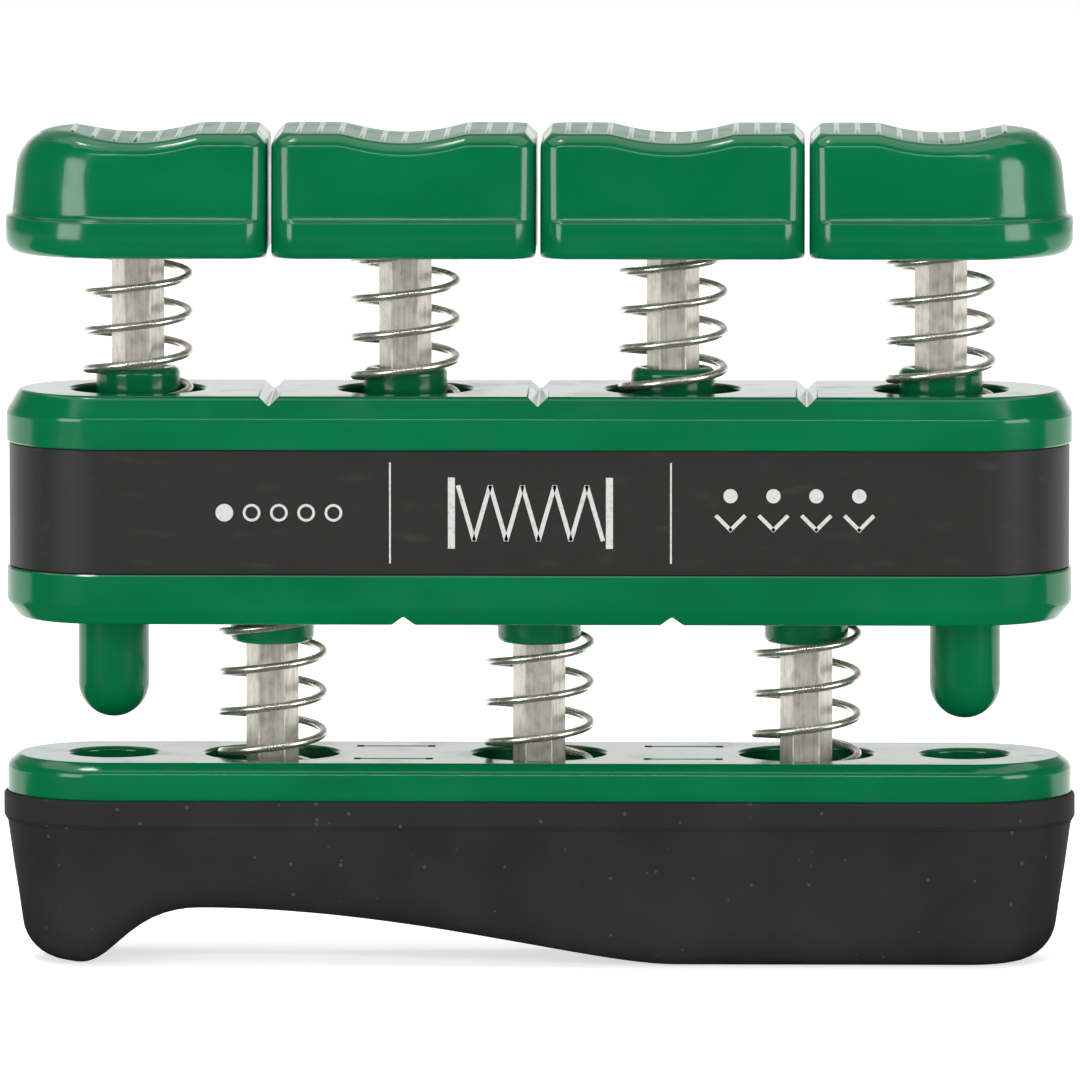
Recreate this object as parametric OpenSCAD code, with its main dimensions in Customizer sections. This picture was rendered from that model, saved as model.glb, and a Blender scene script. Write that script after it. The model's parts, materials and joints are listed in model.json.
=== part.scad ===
// Finger exerciser: four sprung finger buttons on a housing that is itself
// sprung above a rubber-soled palm bar. Millimetres, shown at rest.
// The origin lies on the surface the palm grip rests on, under the middle of
// the object. +X runs along the row of buttons, -Y faces the front, +Z is up.

/* [Overall] */
// Distance between neighbouring finger shafts, along X
finger_pitch = 20.7; // [18.5:0.1:28]
// Distance from an end shaft to the end of the moulded bodies
end_reach = 10.2; // [8.5:0.1:14]
// Depth of the moulded bodies, front to back
body_depth = 16; // [13.3:0.1:24]

/* [Heights] */
// Height of the rubber palm grip, sole to rim
grip_height = 13.15; // [10.9:0.05:20]
// Thickness of the base plate that shows above the grip
plate_thickness = 2.9; // [2.2:0.1:6]
// Gap between base plate and housing at rest
base_gap = 10.7; // [8:0.1:14]
// Gap between housing and finger buttons at rest
finger_gap = 10.6; // [8:0.1:14]
// Height of a finger button
button_height = 9.6; // [7.5:0.1:14]
// Gap left under a button, and under the housing, at the end of its stroke
stop_gap = 0.75; // [0.3:0.05:2]

/* [Shafts and guides] */
// Hexagonal shaft stock, across the flats
shaft_flats = 3.57; // [2.9:0.01:4.4]
// Clearance between a shaft flat and its guide
guide_clearance = 0.08; // [0.03:0.01:0.1]
// Wall of a guide boss around the corners of its hexagonal bore
boss_wall = 1.1; // [0.8:0.05:1.5]
// Height of an upper guide boss proud of the housing's top
boss_rise = 1.7; // [0:0.1:2]
// Height of a lower guide boss proud of the housing's bottom
base_boss_rise = 2.0; // [0:0.1:2.4]
// Depth of a shaft socket in the base core, below its spring seat
socket_depth = 5.0; // [4:0.1:6]

/* [Springs] */
// Play between a spring and the guide boss inside it
spring_play = 0.43; // [0.2:0.01:0.8]
// Diameter of the spring wire
wire_diameter = 0.57; // [0.4:0.01:0.8]
// Clearance around a spring in its seat
spring_clearance = 0.9; // [0.3:0.1:1]
// Depth of a spring seat below the face it opens in
seat_depth = 3.0; // [2:0.1:3.4]
// Turns of a finger spring
finger_turns = 6.4; // [5:0.1:8]
// Turns of a base spring
base_turns = 6.9; // [5:0.1:8]

/* [Retaining clips] */
// Thickness of a retaining clip
clip_thickness = 0.8; // [0.5:0.05:1]
// Depth of the clip groove below a shaft flat
clip_groove = 0.35; // [0.2:0.05:0.5]

/* [Housing] */
// Thickness of the housing walls, roof and floor
housing_wall = 1.6; // [1.3:0.1:2]
// Height of the upper housing that shows above the label band
band_shoulder = 4.05; // [3:0.05:5]
// Height of the lower housing that shows below the label band
band_level = 3.95; // [3:0.05:5]
// Thickness of the label band
band_thickness = 0.4; // [0.2:0.05:0.5]
// Depth of the band below the housing surface
band_recess = 0.2; // [0.1:0.05:0.4]

/* [Guide pegs] */
// Diameter of a guide peg
peg_diameter = 5.5; // [4:0.1:7]
// Length of a guide peg below the housing
peg_length = 7.9; // [5:0.1:9.5]
// Distance from the end of the housing to a peg's axis
peg_inset = 8.25; // [6:0.05:9]
// Clearance around a peg in its hole
peg_clearance = 0.6; // [0.3:0.05:0.8]

/* [Buttons] */
// Gap between neighbouring buttons
button_gap = 0.35; // [0.3:0.05:1]
// Height of the flange around the foot of a button
flange_height = 2.94; // [2:0.1:4]
// Step from the flange to the button's side wall
flange_step = 0.46; // [0.2:0.02:0.8]
// Depth of the finger rest in the top of a button
dip_depth = 0.72; // [0.3:0.02:1.2]
// Width of the finger rest
dip_width = 10; // [8:0.5:14]

/* [Palm grip] */
// How far the grip's rim stands proud of the base plate
rim_proud = 0.3; // [0.1:0.05:0.6]
// Height of the rim
rim_height = 2.0; // [1:0.1:3]
// Rubber wall around the base core
grip_wall = 1.8; // [1.4:0.1:2.2]
// Rubber between the base core and the top of the palm arch
arch_wall = 2.7; // [1.5:0.1:4]
// Width of the lobe at the end of the palm arch
lobe_width = 10.1; // [8:0.1:14]

/* [Hidden] */
$fn = 64;
fingers = 4;
base_shafts = fingers - 1;

// Overall lengths
body_length = (fingers - 1) * finger_pitch + 2 * end_reach;
half_length = body_length / 2;
half_depth = body_depth / 2;

// Shafts, guides, springs and clips
shaft_corners = shaft_flats / cos(30);
shaft_chamfer = 0.3;
bore_corners = (shaft_flats + 2 * guide_clearance) / cos(30);
boss_diameter = bore_corners + 2 * boss_wall;
spring_diameter = boss_diameter + 2 * (spring_play + wire_diameter);
seat_diameter = spring_diameter + 2 * spring_clearance;
seat_floor = 1.3;
cup_diameter = seat_diameter + 2;
clip_diameter = boss_diameter - 0.3;
clip_play = 0.15;
shaft_tail = 0.6;
clip_reach = clip_play + clip_thickness + shaft_tail;

// Strokes, and the housing height that lets each shaft run its stroke inside
end_clearance = 0.3;
finger_stroke = finger_gap - stop_gap;
base_stroke = base_gap - stop_gap;
housing_height = seat_depth + seat_floor + clip_reach + max(finger_stroke, base_stroke)
    + end_clearance + housing_wall;

// Levels at rest
plate_top = grip_height + plate_thickness;
housing_bottom = plate_top + base_gap;
housing_top = housing_bottom + housing_height;
button_bottom = housing_top + finger_gap;
button_top = button_bottom + button_height;

// Finger shafts: from the button's socket down to the clip under the guide
upper_seat = housing_top - seat_depth;
upper_guide_end = upper_seat - seat_floor;
finger_shaft_end = upper_guide_end - clip_reach;
button_seat_depth = 1.5;
button_roof = 2;
button_seat = button_bottom + button_seat_depth;
finger_shaft_top = button_top - dip_depth - button_roof;

// Base shafts: from the core's socket up to the clip above the guide
lower_seat = housing_bottom + seat_depth;
lower_guide_end = lower_seat + seat_floor;
base_shaft_top = lower_guide_end + clip_reach;
base_seat = plate_top - seat_depth;
base_shaft_end = base_seat - socket_depth;

// Housing
band_bottom = housing_bottom + band_level;
band_top = housing_top - band_shoulder;
band_groove = band_thickness + band_recess;
parting = (band_bottom + band_top) / 2;
lip_wall = 0.8;
lip_height = 1.4;
lip_clearance = 0.05;
lip_root = (housing_wall + band_groove) / 2;
roof_chamfer = [0.9, 2.0];
floor_chamfer = [0.9, 1.6];
groove_depth = 0.7;
roof_groove_half = 1.4;
floor_groove_half = 1.7;

// Base plate
core_floor = 1.0;
plate_chamfer = 0.9;
peg_x = half_length - peg_inset;
peg_hole = peg_diameter + 2 * peg_clearance;
peg_hole_bottom = housing_bottom - peg_length - base_stroke - end_clearance;
peg_rim = 0.5;
core_bottom = min(base_shaft_end, peg_hole_bottom) - core_floor;
slot_length = 6.1;
slot_width = 0.55;
slot_depth = 1.2;
slot_end = 1.1;
slot_spread = 4;
slot_x = finger_pitch / 2 + 0.85;

// Palm grip
rim_half = half_length + rim_proud;
side_taper = 1.1;
sole_corner = 4.2;
sole_edge = 3.4;
lobe_radius = 4.4;
lobe_pull = [0.32, 0.6];
arch_rise = 3.9;
arch_pull = [0.43, 0.18];
arch_height = core_bottom - arch_wall;
sole_length = 25.3;

// Buttons
button_inner = finger_pitch - button_gap;
corner_cut = 1.2;
gap_chamfer = 0.8;
foot_cut = 0.8;
wall_draft = 0.45;
shoulder = 1.1;
end_radius = 2.8;

// Where the shafts stand
function finger_x(i) = (i - (fingers + 1) / 2) * finger_pitch;
function base_x(i) = (i - (base_shafts + 1) / 2) * finger_pitch;

// Start angle of each spring
finger_phase = [125, 185, 285, 210];
base_phase = [285, 195, 115];

// ---- outlines -------------------------------------------------------------

// Points of an arc about (cx, cy), both ends included.
function arc(cx, cy, r, from, to, steps) = [
    for (s = [0 : steps]) let (a = from + (to - from) * s / steps) [cx + r * cos(a), cy + r * sin(a)]
];

// Points of a level-to-level S curve from a to b, its ends left out. The
// tangents at both ends are level, and pull gives the share of the run that
// each one reaches over.
function s_curve(a, b, pull, steps) = [
    for (s = [1 : steps - 1])
        let (t = s / steps, u = 1 - t, run = b[0] - a[0])
        [
            u * u * u * a[0] + 3 * u * u * t * (a[0] + pull[0] * run)
                + 3 * u * t * t * (b[0] - pull[1] * run) + t * t * t * b[0],
            a[1] + (b[1] - a[1]) * t * t * (3 - 2 * t)
        ]
];

// A bar with half-round ends. Its child is half of the cross-section, with
// the radius along X and the height along Y; side is the bar's half depth.
module stadium(length, side) {
    straight = length / 2 - side;
    for (turn = [0, 180])
        rotate([0, 0, turn]) translate([straight, 0, 0]) rotate([0, 0, -90])
            rotate_extrude(angle = 180) children();
    translate([-straight, 0, 0]) rotate([90, 0, 90])
        linear_extrude(2 * straight) {
            children();
            mirror([1, 0]) children();
        }
}

// A plain bar with half-round ends, inset from the moulded bodies' outline.
module bar(inset, low, high) {
    side = half_depth - inset;
    stadium(body_length - 2 * inset, side)
        translate([0, low]) square([side, high - low]);
}

// Hexagonal prism with two flats facing front and back.
module hexagon(corners, low, high) {
    translate([0, 0, low]) cylinder(d = corners, h = high - low, $fn = 6);
}

// V-shaped groove along Y, cut into a level face; up is 1 on a top face, and
// half is the groove's half width at groove_depth above the face.
module v_groove(half, level, up) {
    translate([0, body_depth, level]) rotate([90, 0, 0]) linear_extrude(2 * body_depth)
        polygon([[-half, up * groove_depth], [half, up * groove_depth], [0, -up * groove_depth]]);
}

// Tube between two levels.
module ring(outer, inner, low, high) {
    over = 1;
    difference() {
        translate([0, 0, low]) cylinder(d = outer, h = high - low);
        translate([0, 0, low - over]) cylinder(d = inner, h = high - low + 2 * over);
    }
}

// ---- shafts, springs and clips ---------------------------------------------

// Hexagonal shaft with chamfered ends and a clip groove between two levels.
module shaft(low, high, groove_low) {
    bevel = shaft_corners / 2 - shaft_chamfer;
    groove_radius = shaft_flats / 2 - clip_groove;
    intersection() {
        hexagon(shaft_corners, low, high);
        rotate_extrude() polygon([
            [0, low], [bevel, low], [bevel + 2 * shaft_chamfer, low + 2 * shaft_chamfer],
            [bevel + 2 * shaft_chamfer, groove_low], [groove_radius, groove_low],
            [groove_radius, groove_low + clip_thickness],
            [bevel + 2 * shaft_chamfer, groove_low + clip_thickness],
            [bevel + 2 * shaft_chamfer, high - 2 * shaft_chamfer], [bevel, high], [0, high]
        ]);
    }
}

// Retaining clip: a split ring that snaps into a shaft's groove from the back,
// with two notches inside it that leave three prongs on the shaft.
module clip(low) {
    grip_diameter = shaft_flats - 2 * clip_groove;
    mouth = grip_diameter * 0.8;
    notch = 1.1;
    difference() {
        ring(clip_diameter, grip_diameter, low, low + clip_thickness);
        translate([-mouth / 2, 0, low - 1]) cube([mouth, clip_diameter, clip_thickness + 2]);
        for (turn = [-20, 200])
            rotate([0, 0, turn]) translate([grip_diameter / 2, 0, low - 1])
                cylinder(d = notch, h = clip_thickness + 2);
    }
}

// Rise of a closed spring end after t turns, in units of the pitch: half a
// turn lies flat on its seat and the next half turn eases into the pitch.
closed_turn = 0.5;
easing_turn = 0.5;
function end_rise(t) =
    t <= closed_turn ? 0
    : t <= closed_turn + easing_turn ? pow(t - closed_turn, 2) / (2 * easing_turn)
    : t - closed_turn - easing_turn / 2;
function coil_rise(t, turns) =
    t <= turns / 2 ? end_rise(t) : 2 * end_rise(turns / 2) - end_rise(turns - t);

// Compression spring between two seats, wound as a right-hand helix.
module spring(low, high, turns, phase) {
    wire_sides = 6;
    rings_per_turn = 13;
    rings = ceil(turns * rings_per_turn);
    coil_radius = (spring_diameter - wire_diameter) / 2;
    wire_radius = wire_diameter / 2 / cos(180 / wire_sides);
    pitch = (high - low - wire_diameter) / coil_rise(turns, turns);
    points = [
        for (i = [0 : rings])
            let (t = turns * i / rings, turn = phase + 360 * t,
                 level = low + wire_diameter / 2 + pitch * coil_rise(t, turns))
            for (j = [0 : wire_sides - 1])
                let (a = 360 * j / wire_sides, reach = coil_radius + wire_radius * cos(a))
                [reach * cos(turn), reach * sin(turn), level + wire_radius * sin(a)]
    ];
    faces = concat(
        [[for (j = [0 : wire_sides - 1]) j]],
        [
            for (i = [0 : rings - 1], j = [0 : wire_sides - 1])
                let (a = i * wire_sides, b = a + wire_sides, k = (j + 1) % wire_sides)
                each [[a + j, b + j, b + k], [a + j, b + k, a + k]]
        ],
        [[for (j = [wire_sides - 1 : -1 : 0]) rings * wire_sides + j]]
    );
    polyhedron(points, faces);
}

module finger_shaft(i) {
    groove = finger_shaft_end + shaft_tail;
    color("silver") translate([finger_x(i), 0, 0]) shaft(finger_shaft_end, finger_shaft_top, groove);
}

module finger_spring(i) {
    color("gainsboro") translate([finger_x(i), 0, 0])
        spring(upper_seat, button_seat, finger_turns, finger_phase[i - 1]);
}

module finger_clip(i) {
    color("dimgray") translate([finger_x(i), 0, 0]) clip(finger_shaft_end + shaft_tail);
}

module base_shaft(i) {
    groove = base_shaft_top - shaft_tail - clip_thickness;
    color("silver") translate([base_x(i), 0, 0]) shaft(base_shaft_end, base_shaft_top, groove);
}

module base_spring(i) {
    color("gainsboro") translate([base_x(i), 0, 0])
        spring(base_seat, lower_seat, base_turns, base_phase[i - 1]);
}

module base_clip(i) {
    color("dimgray") translate([base_x(i), 0, 0]) clip(base_shaft_top - shaft_tail - clip_thickness);
}

// ---- palm bar ---------------------------------------------------------------

// Front view of the grip: rim, tapered ends, and a sole with the palm arch.
module grip_outline() {
    rim_low = grip_height - rim_height;
    foot = half_length - side_taper;
    lobe_bottom = [-foot + lobe_radius, 0];
    arch_top = [-foot + lobe_width + arch_rise, arch_height];
    sole_right = foot - sole_corner;
    sole_left = sole_right - sole_length;
    polygon(concat(
        [[-rim_half, grip_height], [-rim_half, rim_low], [-half_length, rim_low - rim_proud]],
        arc(lobe_bottom[0], lobe_radius, lobe_radius, 180, 270, 6),
        s_curve(lobe_bottom, arch_top, lobe_pull, 8),
        [arch_top],
        s_curve(arch_top, [sole_left, 0], arch_pull, 10),
        [[sole_left, 0]],
        arc(sole_right, sole_corner, sole_corner, 270, 360, 6),
        [[half_length, rim_low - rim_proud], [rim_half, rim_low], [rim_half, grip_height]]
    ));
}

// End view of the grip, with its sides drawn in towards a rounded sole.
module grip_section() {
    rim_low = grip_height - rim_height;
    rim_side = half_depth + rim_proud;
    foot = half_depth - side_taper;
    half = concat(
        [[rim_side, grip_height], [rim_side, rim_low], [half_depth, rim_low - rim_proud]],
        [for (p = arc(foot - sole_edge, sole_edge, sole_edge, 0, -90, 5)) p]
    );
    polygon(concat(half, [for (k = [len(half) - 1 : -1 : 0]) [-half[k][0], half[k][1]]]));
}

module palm_grip() {
    color("#333333") difference() {
        intersection() {
            bar(-rim_proud, 0, grip_height);
            translate([0, body_depth, 0]) rotate([90, 0, 0]) linear_extrude(2 * body_depth) grip_outline();
            translate([-body_length, 0, 0]) rotate([90, 0, 90]) linear_extrude(2 * body_length) grip_section();
        }
        bar(grip_wall, core_bottom, grip_height + 1);
    }
}

// Narrow moulded slot with a wider pad at each end.
module plate_slot() {
    translate([0, 0, plate_top]) cube([slot_length, slot_width, 2 * slot_depth], center = true);
    for (end = [-1, 1])
        translate([end * (slot_length - slot_width) / 2, 0, plate_top])
            cube([slot_width, slot_end, 2 * slot_depth], center = true);
}

module base_plate() {
    color("#0a7a4d") difference() {
        union() {
            stadium(body_length, half_depth) polygon([
                [0, grip_height], [half_depth, grip_height], [half_depth, plate_top - plate_chamfer],
                [half_depth - plate_chamfer, plate_top], [0, plate_top]
            ]);
            bar(grip_wall, core_bottom, grip_height + plate_thickness / 2);
        }
        for (i = [1 : base_shafts]) translate([base_x(i), 0, 0]) {
            translate([0, 0, base_seat]) cylinder(d = seat_diameter, h = seat_depth + 1);
            hexagon(shaft_corners, base_shaft_end, base_seat + 1);
        }
        for (side = [-1, 1]) translate([side * peg_x, 0, 0]) {
            translate([0, 0, peg_hole_bottom]) cylinder(d = peg_hole, h = plate_top);
            translate([0, 0, plate_top - peg_rim])
                cylinder(d1 = peg_hole, d2 = peg_hole + 4 * peg_rim, h = 2 * peg_rim);
        }
        for (side = [-1, 1], face = [-1, 1])
            translate([side * slot_x, face * slot_spread, 0]) plate_slot();
    }
}

// ---- housing ----------------------------------------------------------------

// Boss and seat cup for one shaft, in the upper housing's orientation: the
// face that the seat opens in is at level, and the cup hangs below it.
module cup_solid(level) {
    translate([0, 0, level - seat_depth - seat_floor]) cylinder(d = cup_diameter, h = seat_depth + seat_floor);
}

module seat_cut(level, rise) {
    ring(seat_diameter, boss_diameter, level - seat_depth, level + rise + 1);
}

module boss_solid(level, rise) {
    translate([0, 0, level - seat_depth]) cylinder(d = boss_diameter, h = seat_depth + rise);
}

// Everything between the two levels that lies inside the band groove.
module inner_bar(low, high) {
    bar(band_groove, low, high);
}

module band_channel() {
    difference() {
        bar(-1, band_bottom, band_top);
        bar(band_groove, band_bottom - 1, band_top + 1);
    }
}

module upper_housing() {
    roof = housing_top - housing_wall;
    color("#0a7a4d") difference() {
        union() {
            difference() {
                stadium(body_length, half_depth) polygon([
                    [0, parting], [half_depth, parting], [half_depth, housing_top - roof_chamfer[1]],
                    [half_depth - roof_chamfer[0], housing_top], [0, housing_top]
                ]);
                bar(housing_wall, parting - 1, roof);
            }
            intersection() {
                for (i = [1 : fingers]) translate([finger_x(i), 0, 0]) cup_solid(housing_top);
                inner_bar(parting, housing_top);
            }
            for (i = [1 : fingers]) translate([finger_x(i), 0, 0]) boss_solid(housing_top, boss_rise);
            difference() {
                bar(housing_wall + lip_clearance, parting - lip_height, parting + lip_height);
                bar(housing_wall + lip_wall, parting - lip_height - 1, parting + lip_height + 1);
            }
            difference() {
                bar(lip_root, parting, parting + lip_height);
                bar(housing_wall + lip_wall, parting - 1, parting + lip_height + 1);
            }
        }
        band_channel();
        for (i = [1 : fingers]) translate([finger_x(i), 0, 0]) {
            seat_cut(housing_top, boss_rise);
            hexagon(bore_corners, upper_guide_end - 1, housing_top + boss_rise + 1);
        }
        for (i = [1 : base_shafts]) translate([base_x(i), 0, 0]) v_groove(roof_groove_half, housing_top, 1);
    }
}

// Guide peg with a domed tip, hanging from the housing floor.
module guide_peg() {
    radius = peg_diameter / 2;
    tip = housing_bottom - peg_length;
    rotate_extrude() polygon(concat(
        [[0, housing_bottom + housing_wall / 2]],
        [[0, tip]],
        arc(0, tip + radius, radius, -75, 0, 5),
        [[radius, housing_bottom + housing_wall / 2]]
    ));
}

module lower_housing() {
    floor_level = housing_bottom + housing_wall;
    color("#0a7a4d") difference() {
        union() {
            difference() {
                stadium(body_length, half_depth) polygon([
                    [0, housing_bottom], [half_depth - floor_chamfer[0], housing_bottom],
                    [half_depth, housing_bottom + floor_chamfer[1]], [half_depth, parting], [0, parting]
                ]);
                bar(housing_wall, floor_level, parting + 1);
            }
            intersection() {
                for (i = [1 : base_shafts]) translate([base_x(i), 0, 0]) mirror([0, 0, 1]) cup_solid(-housing_bottom);
                inner_bar(housing_bottom, parting);
            }
            for (i = [1 : base_shafts]) translate([base_x(i), 0, 0]) mirror([0, 0, 1]) boss_solid(-housing_bottom, base_boss_rise);
            for (side = [-1, 1]) translate([side * peg_x, 0, 0]) guide_peg();
        }
        band_channel();
        for (i = [1 : base_shafts]) translate([base_x(i), 0, 0]) {
            mirror([0, 0, 1]) seat_cut(-housing_bottom, base_boss_rise);
            hexagon(bore_corners, housing_bottom - base_boss_rise - 1, lower_guide_end + 1);
        }
        for (side = [-1, 1]) translate([side * finger_pitch / 2, 0, 0]) v_groove(floor_groove_half, housing_bottom, -1);
    }
}

module label_band() {
    color("#2b2b2b") difference() {
        bar(band_recess, band_bottom, band_top);
        bar(band_groove, band_bottom - 1, band_top + 1);
    }
}

// ---- finger buttons ----------------------------------------------------------

// Slab of the row that one button keeps: the whole end for an end button, and
// one pitch less the gap for the others. Corners at the gaps are cut off.
module button_plan(i, inset) {
    is_left = i == 1;
    is_right = i == fingers;
    left = is_left ? -half_length : finger_x(i) - button_inner / 2;
    right = is_right ? half_length : finger_x(i) + button_inner / 2;
    cut = corner_cut;
    side = half_depth - inset;
    in = [is_left ? 0 : inset, is_right ? 0 : inset];
    polygon([
        [left + in[0] + (is_left ? 0 : cut), -side], [right - in[1] - (is_right ? 0 : cut), -side],
        [right - in[1], is_right ? -side : cut - side], [right - in[1], is_right ? side : side - cut],
        [right - in[1] - (is_right ? 0 : cut), side], [left + in[0] + (is_left ? 0 : cut), side],
        [left + in[0], is_left ? side : side - cut], [left + in[0], is_left ? -side : cut - side]
    ]);
}

// Front view of one button's upper part: rounded over at the end of the row,
// cut off at a gap.
module button_front(i) {
    left = i == 1 ? -half_length + flange_step : finger_x(i) - button_inner / 2;
    right = i == fingers ? half_length - flange_step : finger_x(i) + button_inner / 2;
    low = button_bottom;
    lean = wall_draft;
    left_top = i == 1
        ? arc(left + lean + end_radius, button_top - end_radius, end_radius, 180, 90, 6)
        : [[left, button_top - gap_chamfer], [left + gap_chamfer, button_top]];
    right_top = i == fingers
        ? arc(right - lean - end_radius, button_top - end_radius, end_radius, 90, 0, 6)
        : [[right - gap_chamfer, button_top], [right, button_top - gap_chamfer]];
    polygon(concat([[left, low]], left_top, right_top, [[right, low]]));
}

// End view of a button's upper part, with drafted walls and cut top edges.
module button_section() {
    foot = half_depth - flange_step;
    brow = foot - wall_draft;
    polygon([
        [-foot, button_bottom], [foot, button_bottom], [brow, button_top - shoulder],
        [brow - shoulder, button_top], [shoulder - brow, button_top], [-brow, button_top - shoulder]
    ]);
}

module finger_button(i) {
    flange_top = button_bottom + flange_height;
    dip_radius = (pow(dip_width / 2, 2) + pow(dip_depth, 2)) / (2 * dip_depth);
    foot_side = half_depth - foot_cut;
    color("#0a7a4d") difference() {
        union() {
            intersection() {
                stadium(body_length, half_depth) polygon([
                    [0, button_bottom], [foot_side, button_bottom], [half_depth, button_bottom + foot_cut],
                    [half_depth, flange_top], [0, flange_top]
                ]);
                translate([0, 0, button_bottom]) linear_extrude(flange_height) button_plan(i, 0);
            }
            intersection() {
                bar(flange_step, button_bottom + foot_cut, button_top);
                translate([0, 0, button_bottom + foot_cut])
                    linear_extrude(button_height - foot_cut) button_plan(i, flange_step);
                translate([0, body_depth, 0]) rotate([90, 0, 0])
                    linear_extrude(2 * body_depth) button_front(i);
                translate([-body_length, 0, 0]) rotate([90, 0, 90])
                    linear_extrude(2 * body_length) button_section();
            }
        }
        translate([finger_x(i), 0, 0]) {
            translate([0, body_depth, button_top - dip_depth + dip_radius]) rotate([90, 0, 0])
                cylinder(r = dip_radius, h = 2 * body_depth);
            translate([0, 0, button_bottom - 1]) cylinder(d = seat_diameter, h = button_seat_depth + 1);
            hexagon(shaft_corners, button_bottom, finger_shaft_top);
        }
    }
}

// ---- the object ---------------------------------------------------------------

palm_grip();
base_plate();
lower_housing();
upper_housing();
label_band();
for (i = [1 : fingers]) {
    finger_button(i);
    finger_shaft(i);
    finger_spring(i);
    finger_clip(i);
}
for (i = [1 : base_shafts]) {
    base_shaft(i);
    base_spring(i);
    base_clip(i);
}
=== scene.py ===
"""Looks of a finger exerciser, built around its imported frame.

Four glossy finger buttons stand on hexagonal shafts over a housing, which is
carried in turn on three shafts above a rubber-gripped palm bar. Every piece is
shaped in millimetres and turned into metres when it is finished.
"""

from __future__ import annotations

import json
import logging
import math
from dataclasses import dataclass
from enum import Enum
from typing import Iterable, Sequence

import bmesh
import bpy
from bmesh.types import BMesh, BMFace, BMVert
from mathutils import Matrix, Vector

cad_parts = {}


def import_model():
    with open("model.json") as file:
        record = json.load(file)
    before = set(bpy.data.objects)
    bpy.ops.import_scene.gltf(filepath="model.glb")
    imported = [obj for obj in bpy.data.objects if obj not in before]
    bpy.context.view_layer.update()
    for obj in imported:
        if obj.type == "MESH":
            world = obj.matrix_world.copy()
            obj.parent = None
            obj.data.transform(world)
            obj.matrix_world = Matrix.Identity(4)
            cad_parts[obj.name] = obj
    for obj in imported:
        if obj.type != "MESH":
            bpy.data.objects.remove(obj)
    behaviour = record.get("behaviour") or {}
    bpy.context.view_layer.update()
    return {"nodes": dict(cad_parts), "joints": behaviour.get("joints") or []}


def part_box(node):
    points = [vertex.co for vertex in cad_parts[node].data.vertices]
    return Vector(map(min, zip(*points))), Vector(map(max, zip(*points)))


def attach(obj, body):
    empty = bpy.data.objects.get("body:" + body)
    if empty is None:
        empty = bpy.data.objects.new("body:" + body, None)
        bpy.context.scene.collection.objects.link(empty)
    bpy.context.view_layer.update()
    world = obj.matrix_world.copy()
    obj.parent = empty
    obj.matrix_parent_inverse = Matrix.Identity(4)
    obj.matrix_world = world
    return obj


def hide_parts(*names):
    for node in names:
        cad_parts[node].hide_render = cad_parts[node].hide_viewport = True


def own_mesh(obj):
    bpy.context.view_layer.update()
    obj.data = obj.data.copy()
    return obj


log = logging.getLogger("finger_exerciser")

MM = 0.001
Point = tuple[float, float]
FINGERS = (1, 2, 3, 4)
BASES = (1, 2, 3)


# --------------------------------------------------------------------------
# Shader maths
# --------------------------------------------------------------------------


class Value:
    """A number that varies over a surface. Arithmetic on it adds Math nodes."""

    def __init__(self, nodes: Nodes, socket: bpy.types.NodeSocket) -> None:
        """Wrap one output socket of a node tree."""
        self.nodes = nodes
        self.socket = socket

    def _maths(self, operation: str, *operands: Value | float) -> Value:
        """Add one Math node.

        Args:
            operation: The node's operation.
            operands: What its sockets take, in order.

        Returns:
            The node's result.
        """
        node = self.nodes.node("Math", {"operation": operation}, dict(enumerate(operands)))
        return Value(self.nodes, node.outputs[0])

    def __add__(self, other: Value | float) -> Value:
        """Return self + other."""
        return self._maths("ADD", self, other)

    __radd__ = __add__

    def __mul__(self, other: Value | float) -> Value:
        """Return self * other."""
        return self._maths("MULTIPLY", self, other)

    __rmul__ = __mul__

    def __sub__(self, other: Value | float) -> Value:
        """Return self - other."""
        return self._maths("SUBTRACT", self, other)

    def __rsub__(self, other: float) -> Value:
        """Return other - self."""
        return self._maths("SUBTRACT", other, self)

    def __lt__(self, other: Value | float) -> Value:
        """Return 1 where self is less than other, else 0."""
        return self._maths("LESS_THAN", self, other)

    def __gt__(self, other: Value | float) -> Value:
        """Return 1 where self is greater than other, else 0."""
        return self._maths("GREATER_THAN", self, other)

    def between(self, low: float, high: float, start: float = 0.0, stop: float = 1.0) -> Value:
        """Return a smooth step from start, where self is low, to stop, where it is high."""
        settings = {"interpolation_type": "SMOOTHSTEP"}
        sockets = {"Value": self, "From Min": low, "From Max": high, "To Min": start, "To Max": stop}
        return Value(self.nodes, self.nodes.node("MapRange", settings, sockets).outputs[0])


class Nodes:
    """The node tree of a material or of the room round the object."""

    def __init__(self, owner: bpy.types.Material | bpy.types.World) -> None:
        """Start with an empty tree."""
        owner.use_nodes = True
        self.tree = owner.node_tree
        self.tree.nodes.clear()

    def node(
        self, kind: str, settings: dict[str, object] | None = None, sockets: dict[str | int, object] | None = None
    ) -> bpy.types.Node:
        """Add a node.

        Args:
            kind: The node's type, without the ShaderNode in front of it.
            settings: Properties of the node, set before its sockets.
            sockets: Value or link of each input, by name or number.

        Returns:
            The new node.
        """
        made = self.tree.nodes.new("ShaderNode" + kind)
        for key, setting in (settings or {}).items():
            setattr(made, key, setting)
        for key, given in (sockets or {}).items():
            if isinstance(given, Value):
                given = given.socket
            if isinstance(given, bpy.types.NodeSocket):
                self.tree.links.new(given, made.inputs[key])
            else:
                made.inputs[key].default_value = given
        return made


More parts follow.
